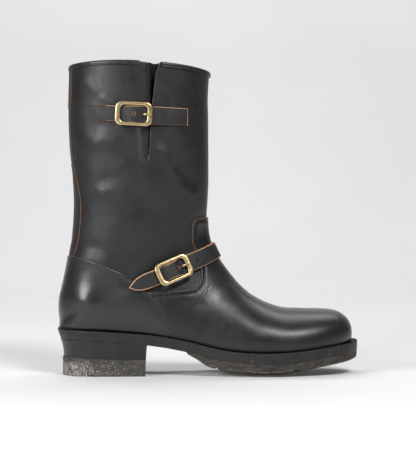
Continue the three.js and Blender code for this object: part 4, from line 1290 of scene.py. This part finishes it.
buckle("top_buckle", top_frame, ("top_buckle",))
buckle("instep_buckle", instep_frame, ("instep_buckle",))
prong("top_prong", top_frame, ("top_prong",))
prong("instep_prong", instep_frame, ("instep_prong",))

# The hole's inside is painted near black as its shade.
hole_shade_painted = plain_leather("hole_shade_painted", (0.004, 0.003, 0.002), (0.01, 0.008, 0.006), 0.9)
hole_rim = raw_edge("hole_rim_brown", 1.5)


def strap_hole(name, buckle_frame, uv, high, along, across, size, rim=True):
    """A punched hole: a shallow dish painted near black as the shade inside the hole, with a worn brown
    edge.
    """
    centre, out = strap_top(buckle_frame, uv, high, along, across)
    side = unit(np.cross(out, [0, 0, 1.0]))
    up = np.cross(side, out)
    turn = np.linspace(0, 2 * math.pi, 25)[:-1]
    circle = np.cos(turn)[:, None] * side + np.sin(turn)[:, None] * up
    rings = [(0.75, -0.14), (0.45, 0.08), (0.1, 0.14), (-0.2, 0.0), (-0.35, -0.52)]
    points = [centre + out * height + circle * (size + wider) for wider, height in rings]
    points.append((centre - out * 0.5)[None])
    faces, parts = [], []
    for ring in range(len(rings) - 1):
        for i in range(24):
            j = (i + 1) % 24
            faces.append([ring * 24 + i, ring * 24 + j, (ring + 1) * 24 + j, (ring + 1) * 24 + i])
            parts.append(0 if rim and ring < 3 else 1)
    last = (len(rings) - 1) * 24
    for i in range(24):
        faces.append([last + i, last + (i + 1) % 24, last + 24])
        parts.append(1)
    looks = [hole_rim if rim else strap_leather, hole_shade_painted]
    add_mesh(name, np.vstack(points), faces, looks, parts=parts)


strap_hole("top_strap_hole", top_frame, top_uv, top_high, 0, 0, 1.5)
strap_hole("instep_strap_hole", instep_frame, instep_uv, instep_high, 4, 0, 1.4)
strap_hole("instep_strap_free_hole", instep_frame, instep_uv, instep_high, 27, 0, 1.4, rim=False)


# The sole. Its outline's sides are smooth lines from the heel to the toe's tip.
def sole_sides():
    outer = np.stack([length_of(OUTLINE[:, 0]), -BALL * OUTLINE[:, 1]], 1)
    inner = np.stack([length_of(OUTLINE[:, 0]), BALL * OUTLINE[:, 2]], 1)
    loop = np.vstack([outer, inner[::-1]])
    count = len(loop)
    steps = np.sqrt(np.linalg.norm(np.roll(loop, -1, 0) - loop, axis=1))
    before = np.roll(steps, 1)
    rate = (np.roll(loop, -1, 0) - loop) / steps[:, None]
    rate_before = np.roll(rate, 1, 0)
    slope = (rate * before[:, None] + rate_before * steps[:, None]) / (before + steps)[:, None]
    dense = []
    for i in range(count):
        j = (i + 1) % count
        t = np.linspace(0, 1, 40, endpoint=False)[:, None]
        h = steps[i]
        dense.append(
            (2 * t**3 - 3 * t**2 + 1) * loop[i] + (t**3 - 2 * t**2 + t) * h * slope[i]
            + (3 * t**2 - 2 * t**3) * loop[j] + (t**3 - t**2) * h * slope[j]
        )
    dense = np.vstack(dense)
    low, high = np.argmin(dense[:, 0]), np.argmax(dense[:, 0])
    dense = np.roll(dense, -low, 0)
    high = (high - low) % len(dense)
    first, second = dense[: high + 1], np.vstack([dense[high:], dense[:1]])[::-1]
    return (first, second) if first[:, 1].mean() < second[:, 1].mean() else (second, first)


outer_side, inner_side = sole_sides()
SOLE_REAR, SOLE_FRONT = outer_side[0, 0], outer_side[-1, 0]


def sole_loop(inset, first=None, last=None, step=1.15):
    """The outline as a loop: the outer side forwards, then the inner side back."""
    count = int((SOLE_FRONT - SOLE_REAR) * 1.45 / step)
    x = SOLE_REAR + (SOLE_FRONT - SOLE_REAR) * (1 - np.cos(np.linspace(0, math.pi, count))) / 2
    if first is not None:
        x = np.concatenate([[first], x[x > first + 0.05]])
    if last is not None:
        x = np.concatenate([x[x < last - 0.05], [last]])
    outer = np.interp(x, outer_side[:, 0], outer_side[:, 1])
    inner = np.interp(x, inner_side[:, 0], inner_side[:, 1])
    middle = (outer + inner) / 2
    keep = 1 - inset / (BALL / 2)
    low = x[0] if first is not None else SOLE_REAR
    high = x[-1] if last is not None else SOLE_FRONT
    start = 0 if first is not None else inset
    end = 0 if last is not None else inset
    moved = low + start + (x - low) * (high - low - start - end) / (high - low)
    sides = [middle + (outer - middle) * keep, middle + (inner - middle) * keep]
    return np.concatenate([
        np.stack([moved, sides[0]], 1), np.stack([moved, sides[1]], 1)[::-1],
    ])


def layered(
    name, layers, material, replaces, close_top=False, close_foot=False, parts=False, fields=None,
):
    """A body whose layers are loops of equal length, from its top to its foot."""
    count = len(layers[0])
    index = np.arange(count * len(layers)).reshape(len(layers), count)
    faces = ring_quads(index)[:, ::-1].tolist()
    kinds = [0] * len(faces)
    half = count // 2
    for wanted, ring, turned in ((close_top, index[0], False), (close_foot, index[-1], True)):
        if not wanted:
            continue
        for i in range(half - 1):
            face = [int(ring[k]) for k in (i, i + 1, count - 2 - i, count - 1 - i)]
            faces.append(face[::-1] if turned else face)
            kinds.append(1 if turned else 0)
    points = np.vstack(layers)
    if fields is None:
        fields = {"edge": np.full(len(points), 3.0), "deep": np.zeros(len(points))}
    add_mesh(name, points, faces, material, replaces, fields, kinds if parts else None)


BREAST = length_of(HEEL_BREAST)


def seat_ring(inset, drop, wave=0.0):
    """A loop under the feather line. Round the heel it runs in towards the heel stack's top."""
    loop = sole_loop(inset)
    along = np.clip((loop[:, 0] - SOLE_REAR) / (BREAST - SOLE_REAR), 0, 1.3)
    flare = np.clip((drop - 0.8) / 9.6, 0, 1) ** 1.2 * (1 - ease(0.85, 1.12, along))
    loop[:, 0] += 3.0 * flare * (1 - np.minimum(along, 1))
    loop[:, 1] *= 1 - 0.9 * flare / 37
    z = seat_at(loop[:, 0]) - drop
    if wave:
        t = np.arange(len(loop))
        z = z + wave * np.sin(t * 0.37 + 1.5 * np.sin(t * 0.11))
    return np.column_stack([loop, z])


def sole_look(name, dark, light, rough=(0.4, 0.6), bump=0.1, lines=0.0, raw=(0.10, 0.05, 0.028)):
    """Edge-dressed sole leather: black, dusty in patches and scuffed through to brown in a few places, with
    painted shade, near black and shineless, where the deep attribute is set.
    """
    look = Look(name)
    base = look.ramp(look.noise(11, 5, 0.65), [(0.3, dark), (0.72, light)])
    marks = look.noise(2.4, 5, 0.7, (0.4, 0.4, 1.6), 0.3)
    worn = look.math("ADD", look.attribute("edge"), look.scale(marks, 0.35, 0.65, 0.45, -0.45))
    share = look.scale(worn, 0.1, 0.4, 0.8, 0.0)
    # painted shade: where deep is set the colour goes near black and the shine falls away
    deep = look.attribute("deep")
    look.colour(look.mix(deep, look.mix(share, base, raw), (0.002, 0.002, 0.002)))
    look.link(look.scale(deep, 0.0, 1.0, 0.45, 0.03), look.shader.inputs["Specular IOR Level"])
    look.roughness(look.scale(marks, 0.3, 0.7, *rough))
    layers = [(look.noise(1.2, 4, 0.65), bump), (look.noise(4, 4, 0.6), bump * 2)]
    if lines:
        layers.append((look.noise(1.0, 2, 0.5, (0.04, 0.04, 1.0)), lines))
    look.bump(*layers)
    return look.material


EDGE_BLACK = ((0.012, 0.0118, 0.0125), (0.022, 0.0212, 0.022))
welt_black = sole_look("welt_black", *EDGE_BLACK)
midsole_black = sole_look("midsole_black", *EDGE_BLACK, lines=0.06)
stack_black = sole_look("stack_black", *EDGE_BLACK, (0.36, 0.5), 0.06, 0.04)


def speckled(name, dark, light, speck, share, size=1.0):
    """Worn rubber with pale dust speckles. The dust attribute says where they gather."""
    look = Look(name)
    look.shade(Roughness=0.8, Specular_IOR_Level=0.25)
    base = look.ramp(look.noise(5, 5, 0.7, (0.5, 0.5, 1.3)), [(0.3, dark), (0.7, light)])
    fine = look.noise(size, 2, 0.6, (0.7, 0.7, 1.4))
    broad = look.noise(6, 3, 0.6)
    gathered = look.scale(look.attribute("dust"), 0.0, 1.0, -0.12, 0.05)
    uneven = look.math("ADD", fine, look.scale(broad, 0.3, 0.7, -0.05, 0.05))
    specks = look.math("ADD", uneven, gathered)
    look.colour(look.mix(look.scale(specks, share, share + 0.03), base, speck))
    look.bump((fine, 0.3), (look.noise(3.2, 4, 0.6), 0.2))
    return look.material


half_rubber = speckled(
    "half_sole_rubber", (0.02, 0.019, 0.018), (0.09, 0.08, 0.068), (0.55, 0.5, 0.42), 0.63, 0.9,
)
lift_rubber = speckled(
    "heel_lift_rubber", (0.04, 0.038, 0.036), (0.085, 0.08, 0.073), (0.75, 0.72, 0.66), 0.6, 0.7,
)
tread_rubber = speckled(
    "tread_rubber", (0.03, 0.028, 0.026), (0.09, 0.08, 0.07), (0.35, 0.32, 0.28), 0.62,
)

WELT_PROFILE = [
    (17, 0.1), (9, 0.05), (4.4, 0.0), (3.1, 0.05), (2.7, 0.32), (2.3, 0.42), (1.9, 0.32), (1.5, 0.02),
    (0.9, 0.0), (0.35, 0.15), (0.05, 0.6), (0.0, 1.4), (0.05, 2.4), (0.08, 3.0), (0.14, 3.28), (17, 3.3),
]
MIDSOLE_PROFILE = [
    (3.0, 3.3), (0.14, 3.32), (0.1, 3.6), (0.1, 4.3), (0.1, 5.4), (0.15, 6.6), (0.2, 7.6),
    (0.25, 8.6), (0.3, 9.6), (0.32, 10.3), (0.4, 10.45),
]
SCUFFS = [(147, 7), (158, 4), (226, 6), (236, 5)]


def sole_fields(rings, insets):
    """Scuffs at a few places of the outer side, and painted shade on the welt's top in the crease under the
    upper.
    """
    points = np.vstack(rings)
    edge = np.full(len(points), 3.0)
    for x, reach in SCUFFS:
        near = np.exp(-(((points[:, 0] - x) / reach) ** 2)) * (points[:, 1] < 0)
        edge = np.minimum(edge, 3.0 - 2.6 * near)
    # painted shade: the welt's top rings are near black and shineless
    depth = [1.0 if inset > 0.6 else 0.5 if inset > 0.3 else 0.0 for inset in insets]
    return {"edge": edge, "deep": np.repeat(depth, len(rings[0]))}


rings = [seat_ring(i, d, 0.05 if i < 2 else 0) for i, d in WELT_PROFILE]
fields = sole_fields(rings, [i for i, _ in WELT_PROFILE])
layered("welt", rings, welt_black, ("welt",), fields=fields)
rings = [seat_ring(i, d, 0.04 if i < 1 else 0) for i, d in MIDSOLE_PROFILE]
fields = sole_fields(rings, [0] * len(rings))
layered("midsole", rings, midsole_black, ("midsole",), True, True, fields=fields)


def tread_height(x, across):
    share = share_of(x)
    inner, outer = np.interp(x, *inner_side.T), np.interp(x, *outer_side.T)
    half = (inner - outer) / BALL
    z = HEIGHT * column_at(TREAD, 1, share)
    z = z + half * TREAD_CROWN * ease(HALF_SOLE_START, 0.53, share) * np.abs(across) ** 2.5
    z = np.maximum(z, 0)
    for groove in TREAD_GROOVES:
        z = z + 1.6 * (1 - ease(1.1, 1.8, np.abs(x - length_of(groove))))
    return z


def half_sole():
    start = length_of(HALF_SOLE_START)
    loop = sole_loop(0.6, first=start, step=0.9)
    foot_loop = sole_loop(0.85, first=start, step=0.9)
    x = foot_loop[:, 0]
    top = seat_at(loop[:, 0]) - SOLE_DEPTH
    foot = tread_height(x, np.ones(len(x)))
    rows = []
    for t in (0.0, 0.06, 0.16, 0.32, 0.48, 0.64, 0.78, 0.89, 0.96, 1.0):
        bulge = 0.25 * math.sin(math.pi * t)
        plan = loop + (foot_loop - loop) * (t - bulge)
        if t > 0.9:
            plan = plan + (sole_loop(1.6, first=start, step=0.9) - loop) * (t - 0.9) * 3
        rows.append(np.column_stack([plan, top + (foot - top) * t]))
    columns = 26
    half = len(loop) // 2
    outer, inner = rows[-1][:half], rows[-1][half:][::-1]
    grid = np.zeros((half, columns, 3))
    for j, t in enumerate(np.linspace(0, 1, columns)):
        flat = outer + (inner - outer) * t
        across = 2 * t - 1
        rib = 0.35 * np.clip(np.sin(flat[:, 0] * 2 * math.pi / 3.6), -0.5, 0.5)
        within = np.clip((1 - abs(across)) * 8, 0, 1)
        z = tread_height(flat[:, 0], np.full(half, across))
        at_edge = outer[:, 2] * (1 - t) + inner[:, 2] * t
        z = np.where(within > 0, z + rib * within + 0.15 * within, at_edge)
        grid[:, j] = np.column_stack([flat[:, :2], z])
    count = len(loop)
    index = np.arange(count * len(rows)).reshape(len(rows), count)
    faces = ring_quads(index)[:, ::-1].tolist()
    kinds = [0] * len(faces)
    base = count * len(rows)
    cells = np.arange(half * columns).reshape(half, columns) + base
    under = quads(cells)
    faces += under.tolist()
    kinds += [1] * len(under)
    ring = index[0]
    for i in range(half - 1):
        faces.append([int(ring[k]) for k in (i, i + 1, count - 2 - i, count - 1 - i)])
        kinds.append(0)
    points = np.vstack(rows + [grid.reshape(-1, 3)])
    low = np.concatenate([np.repeat(np.linspace(0, 1, len(rows)), count), np.full(half * columns, 1.0)])
    dust = {"dust": ease(0.45, 0.95, low)}
    looks = [half_rubber, tread_rubber]
    add_mesh("half_sole", points, faces, looks, ("half_sole",), dust, kinds)


half_sole()


def heel_ring(rear, side, breast, height_at):
    loop = sole_loop(side, last=BREAST, step=0.9)
    low = loop[:, 0].min()
    along = (loop[:, 0] - low) / (BREAST - low)
    x = loop[:, 0] - side + rear * (1 - along) + side * along - breast * along
    half = len(loop) // 2
    y_middle = (loop[:half, 1].mean() + loop[half:, 1].mean()) / 2
    curve = 2.2 * ease(0.93, 1.0, along) * (1 - ((loop[:, 1] - y_middle) / 36) ** 2)
    x = x - curve
    return np.column_stack([x, loop[:, 1], height_at(x)])


def lift_top(x):
    return LIFT_REAR + (LIFT_BREAST - LIFT_REAR) * share_of(x) / HEEL_BREAST


def stack_top(x):
    """Where the heel stack meets the midsole."""
    return seat_at(x) - SOLE_DEPTH


def heel():
    foot, middle, top = np.array([6.3, 2.4, 1.2]), np.array([5.6, 2.1, 0.8]), np.array([3.1, 1.0, 0.2])
    rows = []
    seams = (0.3, 0.52, 0.74)
    for t in np.linspace(1, 0, 41):
        inset = foot * (1 - t) * (1 - 2 * t) + middle * 4 * t * (1 - t) + top * t * (2 * t - 1)
        inset = inset + sum(0.03 * math.exp(-(((t - seam) / 0.016) ** 2)) for seam in seams)
        rows.append(heel_ring(*inset, lambda x, t=t: lift_top(x) + (stack_top(x) - lift_top(x)) * t))
    layered("heel_stack", rows, stack_black, ("heel_stack",), True, True)
    foot, top = np.array([5.2, 2.0, 1.8]), np.array([5.4, 2.0, 1.3])
    rows = []
    for t in (1.0, 0.985, 0.95, 0.9, 0.75, 0.6, 0.45, 0.3, 0.15, 0.06, 0.02, 0.0):
        rounded = math.exp(-(t / 0.025) ** 2) + math.exp(-(((t - 1) / 0.02) ** 2))
        inset = foot + (top - foot) * t + 0.5 * rounded
        rows.append(heel_ring(*inset, lambda x, t=t: (lift_top(x) - 0.1) * t))
    points = np.vstack(rows)
    rearward = 1 - ease(-44, 10, points[:, 0])
    high = points[:, 2] / 17
    dust = (0.45 + 0.75 * rearward) * (1 - 0.75 * ease(0.62, 0.98, high))
    dust = dust + 0.2 * np.exp(-(((high - 0.9) / 0.05) ** 2))
    looks, fields = [lift_rubber, tread_rubber], {"dust": dust}
    layered("heel_lift", rows, looks, ("heel_lift",), True, True, True, fields)


heel()

loop = sole_loop(2.3)
loop = loop[: len(loop) - 1]
inner_half = loop[len(loop) // 2:]
for path in (loop[: len(loop) // 2 + 1], inner_half):
    path = path[path[:, 0] > length_of(0.3)]
    line = np.column_stack([path, seat_at(path[:, 0]) - 0.2])
    up = np.tile([0.0, 0, 1], (len(line), 1))
    stitch_line(line, up, 3.7, 3.0, 0.42)
add_mesh("stitches", np.vstack(stitch_points), stitch_faces, thread_black)

insole_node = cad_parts["insole"]
insole_node.data.materials.clear()
insole_node.data.materials.append(insole_tan)

# The floor and backdrop, the lights and the camera.
paper_look = Look("studio_paper")
paper_look.shade(Roughness=0.9, Specular_IOR_Level=0.1)
paper_look.shade(Emission_Color=(1, 1, 1, 1), Emission_Strength=0.05)
pale = [(0.3, (0.80, 0.80, 0.80)), (0.7, (0.83, 0.83, 0.83))]
paper_look.colour(paper_look.ramp(paper_look.noise(400, 2), pale))
VIEW_TURN = math.radians(4)
BEND_START = 1700
BEND_RADIUS = 600
view = np.array([math.sin(VIEW_TURN), math.cos(VIEW_TURN)])
right = np.array([view[1], -view[0]])
profile = [(-2600, 0.0), (BEND_START, 0.0)]
for turn in np.linspace(0, math.pi / 2, 17)[1:]:
    deep = BEND_START + BEND_RADIUS * math.sin(turn)
    profile.append((deep, BEND_RADIUS - BEND_RADIUS * math.cos(turn)))
profile.append((BEND_START + BEND_RADIUS, 1500))
rows = []
for reach in (-3200, 3200):
    start = np.array([55, 0]) + right * reach
    rows.append([[*(start + view * deep), high] for deep, high in profile])
grid = np.array(rows)
index = np.arange(2 * len(profile)).reshape(2, -1)
faces = np.stack([index[0, :-1], index[1, :-1], index[1, 1:], index[0, 1:]], -1)
mesh = bpy.data.meshes.new("paper")
mesh.from_pydata((grid.reshape(-1, 3) * 0.001).tolist(), [], faces.tolist())
mesh.materials.append(paper_look.material)
mesh.polygons.foreach_set("use_smooth", [True] * len(mesh.polygons))
paper = bpy.data.objects.new("paper", mesh)
bpy.context.scene.collection.objects.link(paper)


def lamp(name, place, target, size, power):
    """A soft lamp that faces a target."""
    light = bpy.data.lights.new(name, "AREA")
    light.shape = "RECTANGLE"
    light.size, light.size_y = size
    light.energy = power
    lit = bpy.data.objects.new(name, light)
    bpy.context.scene.collection.objects.link(lit)
    place, target = Vector(place), Vector(target)
    lit.location = place
    lit.rotation_euler = (target - place).to_track_quat("-Z", "Y").to_euler()


lamp("soft_top", (0.05, 0.55, 1.35), (0.05, 0.0, 0.1), (1.6, 0.5), 6.3)
lamp("soft_front", (0.6, -1.05, 1.2), (0.15, 0, 0.06), (0.55, 0.26), 15)
lamp("soft_left", (-0.97, -0.95, 0.62), (0.0, 0, 0.1), (0.7, 0.34), 14)
lamp("backdrop", (0.1, 1.4, 1.9), (0.15, 2.1, 0.1), (3.2, 0.5), 26)

world = bpy.data.worlds.new("studio")
world.use_nodes = True
world.node_tree.nodes["Background"].inputs["Color"].default_value = (1, 1, 1, 1)
world.node_tree.nodes["Background"].inputs["Strength"].default_value = 0.07
bpy.context.scene.world = world
bpy.context.scene.view_settings.view_transform = "Standard"

camera_data = bpy.data.cameras.new("camera")
camera_data.sensor_width = 36
camera_data.lens = 113.5
camera = bpy.data.objects.new("camera", camera_data)
bpy.context.scene.collection.objects.link(camera)
camera.location = (0.0023, -1.4963, 0.1459)
camera.rotation_euler = Vector((view[0], view[1], 0)).to_track_quat("-Z", "Y").to_euler()
bpy.context.scene.camera = camera
